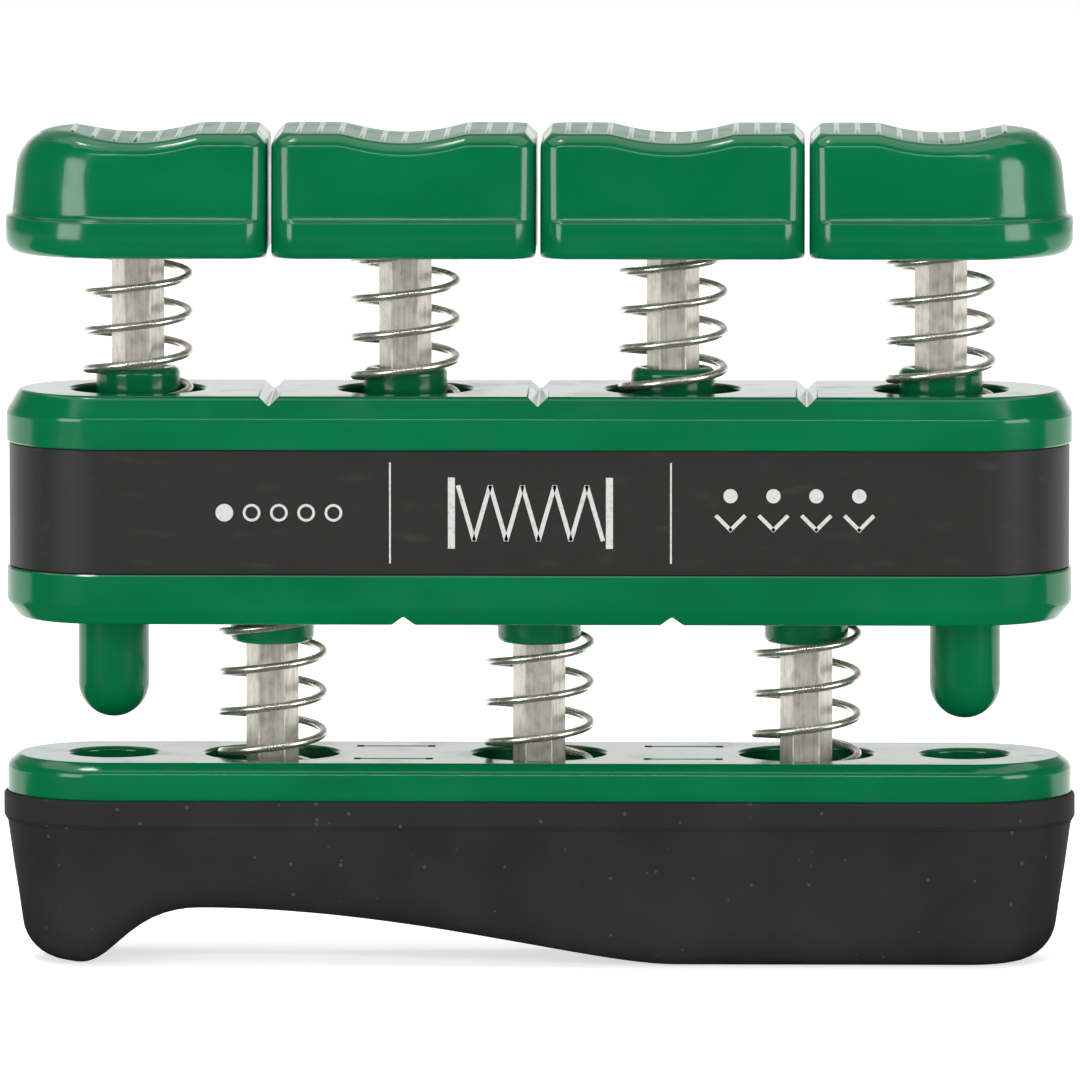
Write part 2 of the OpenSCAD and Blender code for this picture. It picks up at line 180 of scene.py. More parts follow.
class Shader(Nodes):
    """One material's node tree, around a Principled shader."""

    def __init__(self, name: str) -> None:
        """Start a material that holds only its output and its shader."""
        self.material = bpy.data.materials.new(name)
        super().__init__(self.material)
        self.surface = self.node("BsdfPrincipled")
        self.node("OutputMaterial", {}, {"Surface": self.surface.outputs[0]})
        self.position = self.node("TexCoord").outputs["Object"]

    def stretched(self, scale: Sequence[float]) -> bpy.types.NodeSocket:
        """Return the position on the object, stretched along its axes."""
        return self.node("Mapping", {}, {"Vector": self.position, "Scale": tuple(scale)}).outputs[0]

    def noise(self, scale: float, detail: float = 2.0, stretch: Sequence[float] | None = None) -> Value:
        """Return a noise between 0 and 1.

        Args:
            scale: Cells of the noise per metre.
            detail: Its octaves.
            stretch: Factor along each axis, for a drawn or brushed grain.

        Returns:
            The noise.
        """
        where = self.stretched(stretch) if stretch else self.position
        made = self.node("TexNoise", {}, {"Vector": where, "Scale": scale, "Detail": detail})
        return Value(self, made.outputs[0])

    def specks(self, scale: float, size: float, share: float) -> Value:
        """Return scattered round specks.

        Args:
            scale: Cells per metre, each of which may hold one speck.
            size: Radius of the largest speck, as a share of a cell.
            share: Share of the cells that hold a speck.

        Returns:
            1 inside a speck, 0 outside.
        """
        cells = self.node("TexVoronoi", {}, {"Vector": self.position, "Scale": scale})
        chance = self.node("SeparateColor", {}, {0: cells.outputs["Color"]})
        chosen = Value(self, chance.outputs[0]) < share
        radius = Value(self, chance.outputs[1]) * size
        return chosen * (Value(self, cells.outputs["Distance"]) < radius)

    def blend(
        self, share: Value, colour: Sequence[float] | bpy.types.NodeSocket, other: Sequence[float]
    ) -> bpy.types.NodeSocket:
        """Mix two colours.

        Args:
            share: Share of the second colour.
            colour: The first colour, or a link that carries it.
            other: The second colour.

        Returns:
            The mixed colour.
        """
        first = colour if isinstance(colour, bpy.types.NodeSocket) else (*colour, 1.0)
        made = self.node("Mix", {"data_type": "RGBA"}, {0: share, 6: first, 7: (*other, 1.0)})
        return made.outputs[2]

    def bump(self, height: Value, strength: float, depth: float) -> None:
        """Raise the surface by height, which runs from 0 to 1, times depth in metres."""
        made = self.node("Bump", {}, {"Height": height, "Strength": strength, "Distance": depth})
        self.tree.links.new(made.outputs[0], self.surface.inputs["Normal"])

    def set(self, **sockets: object) -> None:
        """Set or link sockets of the Principled shader, named with _ for a space."""
        for key, given in sockets.items():
            socket = self.surface.inputs[key.replace("_", " ")]
            if isinstance(given, Value):
                given = given.socket
            if isinstance(given, bpy.types.NodeSocket):
                self.tree.links.new(given, socket)
            else:
                socket.default_value = given


# --------------------------------------------------------------------------
# Finishes
# --------------------------------------------------------------------------


@dataclass(frozen=True)
class MouldedPlastic:
    """Glossy coloured plastic, with faint flow marks and handling haze."""

    name: str = "moulded_green"
    colour: tuple[float, float, float] = (0.0, 0.132, 0.047)
    deep: tuple[float, float, float] = (0.0, 0.115, 0.037)
    polish: float = 0.115
    haze: float = 0.07
    specular: float = 0.42

    def material(self) -> bpy.types.Material:
        """Build the material."""
        shader = Shader(self.name)
        flow = shader.noise(70, 3.0, (1.0, 1.0, 2.2))
        smudge = shader.noise(260, 4.0).between(0.45, 0.75)
        grain = shader.noise(5200, 2.0)
        shader.set(
            Base_Color=shader.blend(flow.between(0.35, 0.7), self.deep, self.colour),
            Roughness=self.polish + smudge * self.haze + grain * 0.05,
            Specular_IOR_Level=self.specular,
        )
        shader.bump(grain * 0.35 + shader.noise(420, 3.0) * 0.65, 0.10, 0.00003)
        return shader.material


@dataclass(frozen=True)
class MouldedRubber:
    """Matt black rubber with a fine moulded grain and a few specks of dust."""

    name: str = "grip_rubber"
    colour: tuple[float, float, float] = (0.0155, 0.0155, 0.015)
    worn: tuple[float, float, float] = (0.022, 0.0215, 0.021)
    dust: tuple[float, float, float] = (0.085, 0.082, 0.076)

    def material(self) -> bpy.types.Material:
        """Build the material."""
        shader = Shader(self.name)
        cloud = shader.noise(120, 4.0)
        grain = shader.noise(6500, 3.0)
        specks = shader.specks(1100, 0.18, 0.40)
        base = shader.blend(cloud.between(0.3, 0.75), self.colour, self.worn)
        shader.set(
            Base_Color=shader.blend(specks * 0.55, base, self.dust),
            Roughness=0.50 + cloud * 0.14 + grain * 0.10,
            Specular_IOR_Level=0.16,
        )
        shader.bump(grain + specks * 0.6, 0.35, 0.00004)
        return shader.material


@dataclass(frozen=True)
class BandVinyl:
    """Satin black vinyl of the band round the housing."""

    name: str = "band_vinyl"
    colour: tuple[float, float, float] = (0.023, 0.0228, 0.022)
    scuff: tuple[float, float, float] = (0.032, 0.0316, 0.0305)

    def material(self) -> bpy.types.Material:
        """Build the material."""
        shader = Shader(self.name)
        scuffs = shader.noise(900, 3.0, (0.3, 1.0, 1.0)).between(0.55, 0.8)
        grain = shader.noise(7000, 2.0)
        shader.set(
            Base_Color=shader.blend(scuffs, self.colour, self.scuff),
            Roughness=0.36 + scuffs * 0.12 + grain * 0.06,
            Specular_IOR_Level=0.20,
        )
        shader.bump(grain, 0.18, 0.00002)
        return shader.material


@dataclass(frozen=True)
class Ink:
    """Light print on the band, a little broken where the vinyl shows through."""

    name: str = "band_ink"
    colour: tuple[float, float, float] = (0.52, 0.52, 0.51)
    thin: tuple[float, float, float] = (0.36, 0.36, 0.35)

    def material(self) -> bpy.types.Material:
        """Build the material."""
        shader = Shader(self.name)
        patchy = shader.noise(3500, 3.0)
        shader.set(
            Base_Color=shader.blend(patchy.between(0.5, 0.8), self.colour, self.thin),
            Roughness=0.45 + patchy * 0.15,
        )
        return shader.material


@dataclass(frozen=True)
class DrawnSteel:
    """Dull bar steel, mottled, with streaks along Z from the drawing die."""

    name: str = "drawn_steel"
    colour: tuple[float, float, float] = (0.84, 0.785, 0.70)
    dark: tuple[float, float, float] = (0.56, 0.51, 0.435)
    sheen: float = 0.52

    def material(self) -> bpy.types.Material:
        """Build the material."""
        shader = Shader(self.name)
        streaks = shader.noise(1.0, 3.0, (5200, 5200, 210))
        mottle = shader.noise(1500, 5.0, (1.0, 1.0, 0.75))
        shader.set(
            Metallic=self.sheen,
            Base_Color=shader.blend((streaks * 0.45 + mottle * 0.55).between(0.32, 0.60), self.dark, self.colour),
            Roughness=0.22 + streaks * 0.12 + mottle * 0.12,
        )
        shader.bump(streaks * 0.7 + mottle * 0.3, 0.30, 0.00003)
        return shader.material


@dataclass(frozen=True)
class PlatedWire:
    """Bright plated spring wire."""

    name: str = "plated_wire"
    colour: tuple[float, float, float] = (0.88, 0.83, 0.76)
    dark: tuple[float, float, float] = (0.62, 0.56, 0.48)
    sheen: float = 0.92

    def material(self) -> bpy.types.Material:
        """Build the material."""
        shader = Shader(self.name)
        tarnish = shader.noise(900, 4.0)
        scratches = shader.noise(9000, 2.0)
        shader.set(
            Metallic=self.sheen,
            Base_Color=shader.blend(tarnish.between(0.45, 0.8), self.colour, self.dark),
            Roughness=0.18 + tarnish * 0.14 + scratches * 0.06,
        )
        shader.bump(scratches, 0.15, 0.00001)
        return shader.material


@dataclass(frozen=True)
class ClipSteel:
    """Dark oiled spring steel of the retaining clips."""

    name: str = "clip_steel"
    colour: tuple[float, float, float] = (0.16, 0.155, 0.15)
    dark: tuple[float, float, float] = (0.08, 0.075, 0.07)

    def material(self) -> bpy.types.Material:
        """Build the material."""
        shader = Shader(self.name)
        mottle = shader.noise(1800, 4.0)
        shader.set(
            Metallic=1.0,
            Base_Color=shader.blend(mottle.between(0.3, 0.7), self.dark, self.colour),
            Roughness=0.30 + mottle * 0.15,
        )
        return shader.material


@dataclass(frozen=True)
class PalePaper:
    """Plain pale studio paper under and behind the object."""

    name: str = "studio_paper"
    colour: tuple[float, float, float] = (0.86, 0.86, 0.86)
    glow: float = 0.62

    def material(self) -> bpy.types.Material:
        """Build the material."""
        shader = Shader(self.name)
        shader.set(
            Base_Color=(*self.colour, 1.0), Roughness=0.9, Specular_IOR_Level=0.1,
            Emission_Color=(1.0, 1.0, 1.0, 1.0), Emission_Strength=self.glow,
        )
        return shader.material


@dataclass(frozen=True)
class DarkCard:
    """Dark card that keeps the pale floor out of the object's reflections."""

    name: str = "dark_card"
    shade: float = 0.02

    def material(self) -> bpy.types.Material:
        """Build the material."""
        shader = Shader(self.name)
        shader.set(Base_Color=(self.shade, self.shade, self.shade, 1.0), Roughness=1.0, Specular_IOR_Level=0.0)
        return shader.material


@dataclass
class Finishes:
    """The finishes that the pieces share, each built once."""

    def __post_init__(self) -> None:
        """Build every material."""
        self.green = MouldedPlastic().material()
        self.rest = MouldedPlastic(name="textured_green", polish=0.27, haze=0.08).material()
        self.rib = MouldedPlastic(name="ribbed_green", polish=0.17, haze=0.05).material()
        self.rubber = MouldedRubber().material()
        self.vinyl = BandVinyl().material()
        self.ink = Ink().material()
        self.shaft = DrawnSteel().material()
        self.wire = PlatedWire().material()
        self.clip = ClipSteel().material()
        self.paper = PalePaper().material()
        self.card = DarkCard().material()


# --------------------------------------------------------------------------
# Shaping
# --------------------------------------------------------------------------


class Operation(Enum):
    """How one closed shape is combined with another."""

    CUT = "DIFFERENCE"
    JOIN = "UNION"


def arc(centre: Point, radius: float, start: float, stop: float, steps: int) -> list[Point]:
    """Return points of an arc, both ends included.

    Args:
        centre: Its centre.
        radius: Its radius.
        start: Angle of the first point, in degrees from the first axis.
        stop: Angle of the last point.
        steps: Number of chords.

    Returns:
        The points, in order.
    """
    angles = [math.radians(start + (stop - start) * k / steps) for k in range(steps + 1)]
    return [(centre[0] + radius * math.cos(a), centre[1] + radius * math.sin(a)) for a in angles]


def rounded(corner: Point, radius: float, towards: float, steps: int = 4) -> list[Point]:
    """Return a quarter arc that rounds an outer corner of a turned profile.

    Args:
        corner: The sharp corner, as radius and height.
        radius: Radius of the rounding.
        towards: 1 for a corner under a face that looks up, -1 for down.
        steps: Number of chords.

    Returns:
        The arc's points, walking upwards.
    """
    centre = (corner[0] - radius, corner[1] - towards * radius)
    return arc(centre, radius, 0, 90, steps) if towards > 0 else arc(centre, radius, -90, 0, steps)


def turned(profile: Sequence[Point], straight: float = 0.0, closed: bool = False, steps: int = 72) -> BMesh:
    """Spin a profile about Z, and pull the halves apart into a bar with round ends.

    Args:
        profile: Radius and height of each point, upwards along the outside.
        straight: Length of the straight part between the round ends.
        closed: Whether the profile is a closed loop, as for a band.
        steps: Steps of the full turn.

    Returns:
        The closed shape.
    """
    bm = bmesh.new()
    verts = [bm.verts.new((r, 0, z)) for r, z in profile]
    last = len(verts) if closed else len(verts) - 1
    edges = [bm.edges.new((verts[k], verts[(k + 1) % len(verts)])) for k in range(last)]
    half_step = Matrix.Rotation(math.pi / steps, 3, "Z")
    bmesh.ops.rotate(bm, cent=(0, 0, 0), matrix=half_step, verts=verts)
    bmesh.ops.spin(bm, geom=verts + edges, axis=(0, 0, 1), cent=(0, 0, 0), angle=math.tau, steps=steps, use_merge=True)
    bmesh.ops.remove_doubles(bm, verts=bm.verts, dist=1e-5)
    for side in (-1, 1):
        half = [v for v in bm.verts if v.co.x * side > 1e-6]
        bmesh.ops.translate(bm, vec=(side * straight / 2, 0, 0), verts=half)
    close_up(bm)
    return bm


def close_up(bm: BMesh) -> None:
    """Cap any open loops of a shape and point its faces outwards."""
    rims = [e for e in bm.edges if e.is_boundary]
    if rims:
        bmesh.ops.holes_fill(bm, edges=rims)
    bmesh.ops.recalc_face_normals(bm, faces=bm.faces)


def moved(bm: BMesh, x: float = 0.0, y: float = 0.0, z: float = 0.0) -> BMesh:
    """Shift a shape and return it."""
    bmesh.ops.translate(bm, vec=(x, y, z), verts=bm.verts)
    return bm


def upside_down(bm: BMesh) -> BMesh:
    """Mirror a shape in the level plane through the origin and return it."""
    bmesh.ops.scale(bm, vec=(1, 1, -1), verts=bm.verts)
    bmesh.ops.recalc_face_normals(bm, faces=bm.faces)
    return bm


def gathered(parts: Iterable[BMesh]) -> BMesh:
    """Put shapes that don't touch into one, and free them."""
    whole = bmesh.new()
    for part in parts:
        mesh = bpy.data.meshes.new("part")
        part.to_mesh(mesh)
        part.free()
        whole.from_mesh(mesh)
        bpy.data.meshes.remove(mesh)
    return whole


def combined(base: BMesh, tool: BMesh, operation: Operation) -> BMesh:
    """Cut a tool from a shape, or join it on.

    Args:
        base: The shape, which is freed.
        tool: The other shape, which is freed.
        operation: What is done with the tool.

    Returns:
        The result.
    """
    objects = []
    for bm in (base, tool):
        mesh = bpy.data.meshes.new("work")
        bm.to_mesh(mesh)
        bm.free()
        objects.append(bpy.data.objects.new("work", mesh))
        bpy.context.collection.objects.link(objects[-1])
    modifier = objects[0].modifiers.new("combine", "BOOLEAN")
    modifier.operation = operation.value
    modifier.object = objects[1]
    modifier.solver = "EXACT"
    result = bmesh.new()
    result.from_object(objects[0], bpy.context.evaluated_depsgraph_get())
    for item in objects:
        mesh = item.data
        bpy.data.objects.remove(item)
        bpy.data.meshes.remove(mesh)
    bmesh.ops.remove_doubles(result, verts=result.verts, dist=1e-4)
    bmesh.ops.dissolve_degenerate(result, edges=result.edges, dist=1e-5)
    return result


def hexagon(corners: float, levels: Sequence[tuple[float, float]]) -> BMesh:
    """Build a hexagonal bar with flats front and back.

    Args:
        corners: Distance across its corners.
        levels: Height of each ring, and its size as a share of the full one.

    Returns:
        The closed bar.
    """
    bm = bmesh.new()
    bmesh.ops.create_circle(bm, cap_ends=True, segments=6, radius=corners / 2)
    turn = Matrix.Rotation(math.radians(30), 3, "Z")
    bmesh.ops.rotate(bm, cent=(0, 0, 0), matrix=turn, verts=bm.verts)
    face = bm.faces[:][0]
    size = 1.0
    height = 0.0
    for number, (level, share) in enumerate(levels):
        if number:
            face = lifted(bm, face)
        ring = list(face.verts)
        bmesh.ops.scale(bm, vec=(share / size, share / size, 1), verts=ring)
        bmesh.ops.translate(bm, vec=(0, 0, level - height), verts=ring)
        size, height = share, level
    bmesh.ops.recalc_face_normals(bm, faces=bm.faces)
    return bm


def lifted(bm: BMesh, face: BMFace) -> BMFace:
    """Extrude the face that closes a shape's top, and return the new top face."""
    made = bmesh.ops.extrude_face_region(bm, geom=[face])["geom"]
    if len(face.edges[0].link_faces) > 2:
        bmesh.ops.delete(bm, geom=[face], context="FACES_ONLY")
    return next(g for g in made if isinstance(g, BMFace))


def extruded(outline: Sequence[Point], half_width: float) -> BMesh:
    """Sweep an outline in X and Z along Y, to half_width on both sides."""
    bm = bmesh.new()
    face = bm.faces.new([bm.verts.new((x, -half_width, z)) for x, z in outline])
    made = bmesh.ops.extrude_face_region(bm, geom=[face])["geom"]
    verts = [g for g in made if isinstance(g, BMVert)]
    bmesh.ops.translate(bm, vec=(0, 2 * half_width, 0), verts=verts)
    close_up(bm)
    return bm


def sliced(bm: BMesh, places: Iterable[float]) -> None:
    """Add a cut through a shape at each place along X, for later bending."""
    for x in places:
        geometry = bm.verts[:] + bm.edges[:] + bm.faces[:]
        bmesh.ops.bisect_plane(bm, geom=geometry, dist=1e-4, plane_co=(x, 0, 0), plane_no=(1, 0, 0))


def eased(share: float) -> float:
    """Return a smooth step of a share that is first limited to 0 to 1."""
    t = min(max(share, 0.0), 1.0)
    return t * t * (3 - 2 * t)


# --------------------------------------------------------------------------
# The frame
# --------------------------------------------------------------------------


@dataclass(frozen=True)
class Extent:
    """A CAD node's box at rest, in millimetres."""

    low: Vector
    high: Vector

    @classmethod
    def of(cls, node: str) -> Extent:
        """Read a node's box from the frame."""
        low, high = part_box(node)
        return cls(Vector(low) / MM, Vector(high) / MM)

    @property
    def x(self) -> float:
        """Middle of the box along X."""
        return (self.low.x + self.high.x) / 2


class Plan:
    """Places read from the frame, and sizes that mating pieces share, in millimetres."""

    seat_radius: float = 5.16
    seat_depth: float = 3.0
    peg_inset: float = 8.25
    band_recess: float = 0.2

    def __init__(self) -> None:
        """Measure the nodes that set each place."""
        plate = Extent.of("base_plate")
        self.half_length: float = plate.high.x
        self.half_depth: float = plate.high.y
        self.straight: float = 2 * (self.half_length - self.half_depth)
        self.plate_top: float = plate.high.z
        self.core_bottom: float = plate.low.z
        self.grip_top: float = Extent.of("palm_grip").high.z
        self.finger_x = {i: Extent.of(f"finger_shaft_{i}").x for i in FINGERS}
        self.base_x = {i: Extent.of(f"base_shaft_{i}").x for i in BASES}
        self.pitch: float = self.finger_x[2] - self.finger_x[1]
        self.finger_spring = Extent.of("finger_spring_1")
        self.base_spring = Extent.of("base_spring_1")
        self.band = Extent.of("label_band")
        self.shaft_flats: float = 2 * Extent.of("finger_shaft_1").high.y
        self.shaft_corners: float = self.shaft_flats / math.cos(math.pi / 6)


def finished(
    bm: BMesh, name: str, body: str, finish: bpy.types.Material, stands_for: Sequence[str] = (),
    crease: float = 34.0, weighted: bool = True,
) -> bpy.types.Object:
    """Turn a shape into a piece of the object.

    Args:
        bm: The shape in millimetres, in place; it is freed.
        name: The piece's name.
        body: The CAD body that it rides on.
        finish: Its material.
        stands_for: CAD nodes that it replaces.
        crease: Angle in degrees past which an edge stays sharp.
        weighted: Whether large faces set the shading next to small ones.

    Returns:
        The piece.
    """
    bmesh.ops.scale(bm, vec=(MM, MM, MM), verts=bm.verts)
    mesh = bpy.data.meshes.new(name)
    bm.to_mesh(mesh)
    bm.free()
    mesh.shade_smooth()
    mesh.set_sharp_from_angle(angle=math.radians(crease))
    mesh.materials.append(finish)
    piece = bpy.data.objects.new(name, mesh)
    bpy.context.collection.objects.link(piece)
    if weighted:
        modifier = piece.modifiers.new("even_shading", "WEIGHTED_NORMAL")
        modifier.keep_sharp = True
        modifier.weight = 80
    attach(piece, body)
    if stands_for:
        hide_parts(*stands_for)
    log.info("%s: %d faces on %s", name, len(mesh.polygons), body)
    return piece


# --------------------------------------------------------------------------
# Palm bar
# --------------------------------------------------------------------------


@dataclass
class PalmBar:
    """The rubber grip and the green base plate that fills it."""

    plan: Plan
    finishes: Finishes
    rim_proud: float = 0.3
    rim_height: float = 2.0
    side_taper: float = 1.1
    sole_radius: float = 3.4
    grip_wall: float = 1.8
    lobe_radius: float = 4.4
    lobe_width: float = 10.1
    arch_rise: float = 3.9
    arch_wall: float = 2.7
    sole_length: float = 25.3
    sole_corner: float = 4.2
    plate_round: float = 0.9
    peg_hole_radius: float = 3.35
    peg_hole_floor: float = 1.55
    slot_length: float = 6.1
    slot_width: float = 0.55
    slot_end: float = 1.1
    slot_depth: float = 1.2
    slot_spread: float = 4.0
    slot_shift: float = 0.85
    slice_step: float = 0.9
    bend_start: float = 2.5

    def underside(self, x: float) -> float:
        """Return the height of the sole's lowest line at a place along X."""
        foot = self.plan.half_length - self.side_taper
        lobe = -foot + self.lobe_radius
        crest = -foot + self.lobe_width + self.arch_rise
        height = self.plan.core_bottom - self.arch_wall
        sole = foot - self.sole_corner - self.sole_length
        if x <= crest:
            return height * self.swell((x - lobe) / (crest - lobe), 0.32, 0.6)
        return height * (1 - self.swell((x - crest) / (sole - crest), 0.43, 0.18))

    @staticmethod
    def swell(share: float, pull: float, push: float, tries: int = 24) -> float:
        """Return the height, from 0 to 1, of an S curve that starts and ends level.

        Args:
            share: Place along its run, from 0 to 1.
            pull: Share of the run that the first tangent reaches over.
            push: The same for the last one.
            tries: Halvings of the search for the place on the curve.

        Returns:
            The height there.
        """
        share = min(max(share, 0.0), 1.0)
        low, high = 0.0, 1.0
        for _ in range(tries):
            t = (low + high) / 2
            run = 3 * (1 - t) ** 2 * t * pull + 3 * (1 - t) * t * t * (1 - push) + t ** 3
            low, high = (t, high) if run < share else (low, t)
        return eased(t)

    def grip(self) -> None:
        """Build the rubber grip: a bar of one section, arched over the palm."""
        plan = self.plan
        rim_low = plan.grip_top - self.rim_height
        side = plan.half_depth
        foot = side - self.side_taper
        profile = [
            *arc((foot - self.sole_radius, self.sole_radius), self.sole_radius, -90, -7, 9),
            (foot + 0.30, self.sole_radius + 1.9),
            (foot + 0.66, self.sole_radius + 4.2),
            (side - 0.06, rim_low - self.rim_proud - 0.5),
            *arc((side + 0.18, rim_low - self.rim_proud), 0.18, 200, 100, 3),
            *arc((side + self.rim_proud - 0.2, rim_low + 0.2), 0.2, -60, 0, 3),
            *rounded((side + self.rim_proud, plan.grip_top), 0.28, 1),
        ]
        bm = turned(profile, plan.straight, steps=96)
        reach = plan.half_length
        step = self.slice_step
        sliced(bm, [-reach + (2 / 3 + k) * step for k in range(round(2 * reach / step))])
        bend_end = rim_low - self.rim_proud - 0.5
        for vert in bm.verts:
            hold = 1 - eased((vert.co.z - self.bend_start) / (bend_end - self.bend_start))
            vert.co.z += hold * self.underside(vert.co.x)
        core = side - self.grip_wall
        hollow = turned([(core, plan.core_bottom), (core, plan.grip_top + 1)], plan.straight)
        bm = combined(bm, hollow, Operation.CUT)
        finished(bm, "rubber_grip", "base", self.finishes.rubber, ["palm_grip"])

    def base_plate(self) -> None:
        """Build the base plate with its core, spring seats, peg holes and slots."""
        plan = self.plan
        side = plan.half_depth
        core = side - self.grip_wall
        top = plan.plate_top
        profile = [
            (core, plan.core_bottom), (core, plan.grip_top), (side - 0.1, plan.grip_top), (side, plan.grip_top + 0.1),
            *arc((side - self.plate_round, top - 1.12), self.plate_round, 0, 42, 5),
            (side - 0.78, top - 0.10), (side - 0.90, top - 0.02), (side - 1.0, top),
        ]
        bm = turned(profile, plan.straight, steps=96)
        seat_floor = plan.base_spring.low.z
        seats = [moved(self.socket(plan.seat_radius, seat_floor, top, 0.3), x=x) for x in plan.base_x.values()]
        peg_x = plan.half_length - plan.peg_inset
        hole_floor = plan.core_bottom + self.peg_hole_floor
        holes = [moved(self.socket(self.peg_hole_radius, hole_floor, top, 0.35), x=s * peg_x) for s in (-1, 1)]
        slots = [moved(self.slot_cutter(), s * (plan.pitch / 2 + self.slot_shift), f * self.slot_spread, top)
                 for s in (-1, 1) for f in (-1, 1)]
        bm = combined(bm, gathered([*seats, *holes, *slots]), Operation.CUT)
        sockets = [moved(hexagon(plan.shaft_corners, [(self.shaft_foot(), 1), (seat_floor + 1, 1)]), x=x)
                   for x in plan.base_x.values()]
        bm = combined(bm, gathered(sockets), Operation.CUT)
        finished(bm, "green_base_plate", "base", self.finishes.green, ["base_plate"])

    @staticmethod
    def shaft_foot() -> float:
        """Return the level of the base shafts' lower ends."""
        return Extent.of("base_shaft_1").low.z

    @staticmethod
    def socket(radius: float, floor: float, top: float, flare: float) -> BMesh:
        """Return the cutter for a round hole whose rim is rounded by flare."""
        rim = arc((radius + flare, top - flare), flare, 180, 90, 4)
        return turned([(radius, floor), *rim, (radius + flare, top + 1)], steps=64)

    def slot_cutter(self) -> BMesh:
        """Return the cutter for one narrow slot with a pad at each end."""
        half, thin, pad = self.slot_length / 2, self.slot_width / 2, self.slot_end / 2
        bm = bmesh.new()
        corners = [(-half, -pad), (2 * thin - half, -pad), (2 * thin - half, -thin), (half - 2 * thin, -thin),
                   (half - 2 * thin, -pad), (half, -pad)]
        outline = corners + [(x, -y) for x, y in reversed(corners)]
        face = bm.faces.new([bm.verts.new((x, y, -self.slot_depth)) for x, y in outline])
        made = bmesh.ops.extrude_face_region(bm, geom=[face])["geom"]
        verts = [g for g in made if isinstance(g, BMVert)]
        bmesh.ops.translate(bm, vec=(0, 0, self.slot_depth + 1), verts=verts)
        close_up(bm)
        return bm


# --------------------------------------------------------------------------
# Housing
# --------------------------------------------------------------------------


@dataclass
class HousingHalf:
    """One half of the housing, shaped with its outer face up, at height 0."""

    plan: Plan
    shaft_places: Sequence[float]
    groove_places: Sequence[float]
    band_drop: float
    parting_drop: float
    edge_drop: float
    groove_width: float
    edge_inset: float = 0.9
    wall: float = 1.6
    groove_depth: float = 0.7
    band_groove: float = 0.6
    cup_floor: float = 1.3
    cup_wall: float = 1.0
    boss_radius: float = 3.25
    boss_rise: float = 1.7
    bore_clearance: float = 0.08
    bore_mouth: float = 1.16
    top_round: float = 0.55
    brow: float = 0.9
    boss_round: float = 0.55

    def shell(self) -> BMesh:
        """Return the outer shell with its roof, hollow inside."""
        side = self.plan.half_depth
        inner = side - self.band_groove
        slope = math.degrees(math.atan2(self.edge_drop, self.edge_inset))
        rim = (side - self.edge_inset - self.top_round * 0.75, -self.top_round)
        profile = [
            (inner, -self.parting_drop), (inner, -self.band_drop), (side - 0.12, -self.band_drop),
            (side, -self.band_drop + 0.12),
            *arc((side - self.brow, -self.edge_drop), self.brow, 0, 90 - slope, 4),
            *arc(rim, self.top_round, 90 - slope, 90, 5),
        ]
        bm = turned(profile, self.plan.straight, steps=96)
        hollow = turned(
            [(side - self.wall, -self.parting_drop - 1), (side - self.wall, -self.wall)], self.plan.straight
        )
        return combined(bm, hollow, Operation.CUT)

    def cups(self) -> BMesh:
        """Return the cups that hang from the roof and hold the spring seats."""
        radius = self.plan.seat_radius + self.cup_wall
        bottom = -self.plan.seat_depth - self.cup_floor
        return gathered(
            moved(turned([(radius, bottom), (radius, -self.wall + 0.4)], steps=64), x=x) for x in self.shaft_places
        )

    def seats(self) -> BMesh:
        """Return the cutters for the spring seats."""
        return gathered(
            moved(PalmBar.socket(self.plan.seat_radius, -self.plan.seat_depth, 0, 0.3), x=x) for x in self.shaft_places
        )

    def bosses(self) -> BMesh:
        """Return the guide bosses, each with a rounded rim."""
        profile = [
            (self.boss_radius + 0.25, -self.plan.seat_depth - 0.4), (self.boss_radius + 0.25, -self.plan.seat_depth),
            *arc((self.boss_radius + 0.25, -self.plan.seat_depth + 0.25), 0.25, -90, -180, 3),
            *rounded((self.boss_radius, self.boss_rise), self.boss_round, 1, 5),
        ]
        return gathered(moved(turned(profile, steps=56), x=x) for x in self.shaft_places)

    def bores(self) -> BMesh:
        """Return the cutters for the hexagonal guide bores, flared at the mouth."""
        corners = self.plan.shaft_corners + 2 * self.bore_clearance / math.cos(math.pi / 6)
        mouth = self.bore_mouth
        levels = [(-self.plan.seat_depth - self.cup_floor - 1, 1), (self.boss_rise - 0.3, 1), (self.boss_rise, mouth),
                  (self.boss_rise + 1, mouth)]
        return gathered(moved(hexagon(corners, levels), x=x) for x in self.shaft_places)

    def grooves(self) -> BMesh:
        """Return the cutters for the V grooves between neighbouring shafts."""
        half = self.groove_width / 2
        deep = self.groove_depth
        right = [(0.07, -deep + 0.02), (half - 0.02, -0.09), (half + 0.09, -0.025), (half + 0.22, 0.02)]
        left = [(-x, z) for x, z in reversed(right)]
        outline = [*left, *right, (half + 0.22, 1), (-half - 0.22, 1)]
        return gathered(moved(extruded(outline, 2 * self.plan.half_depth), x=x) for x in self.groove_places)

    def shape(self, extra: BMesh | None = None) -> BMesh:
        """Return the whole half.

        Args:
            extra: More solid to join on, in the same place, such as pegs.

        Returns:
            The shape, with its outer face up at height 0.
        """
        bm = combined(self.shell(), self.cups(), Operation.JOIN)
        bm = combined(bm, self.seats(), Operation.CUT)
        bm = combined(bm, self.bosses(), Operation.JOIN)
        bm = combined(bm, self.bores(), Operation.CUT)
        if extra is not None:
            bm = combined(bm, extra, Operation.JOIN)
        return combined(bm, self.grooves(), Operation.CUT)


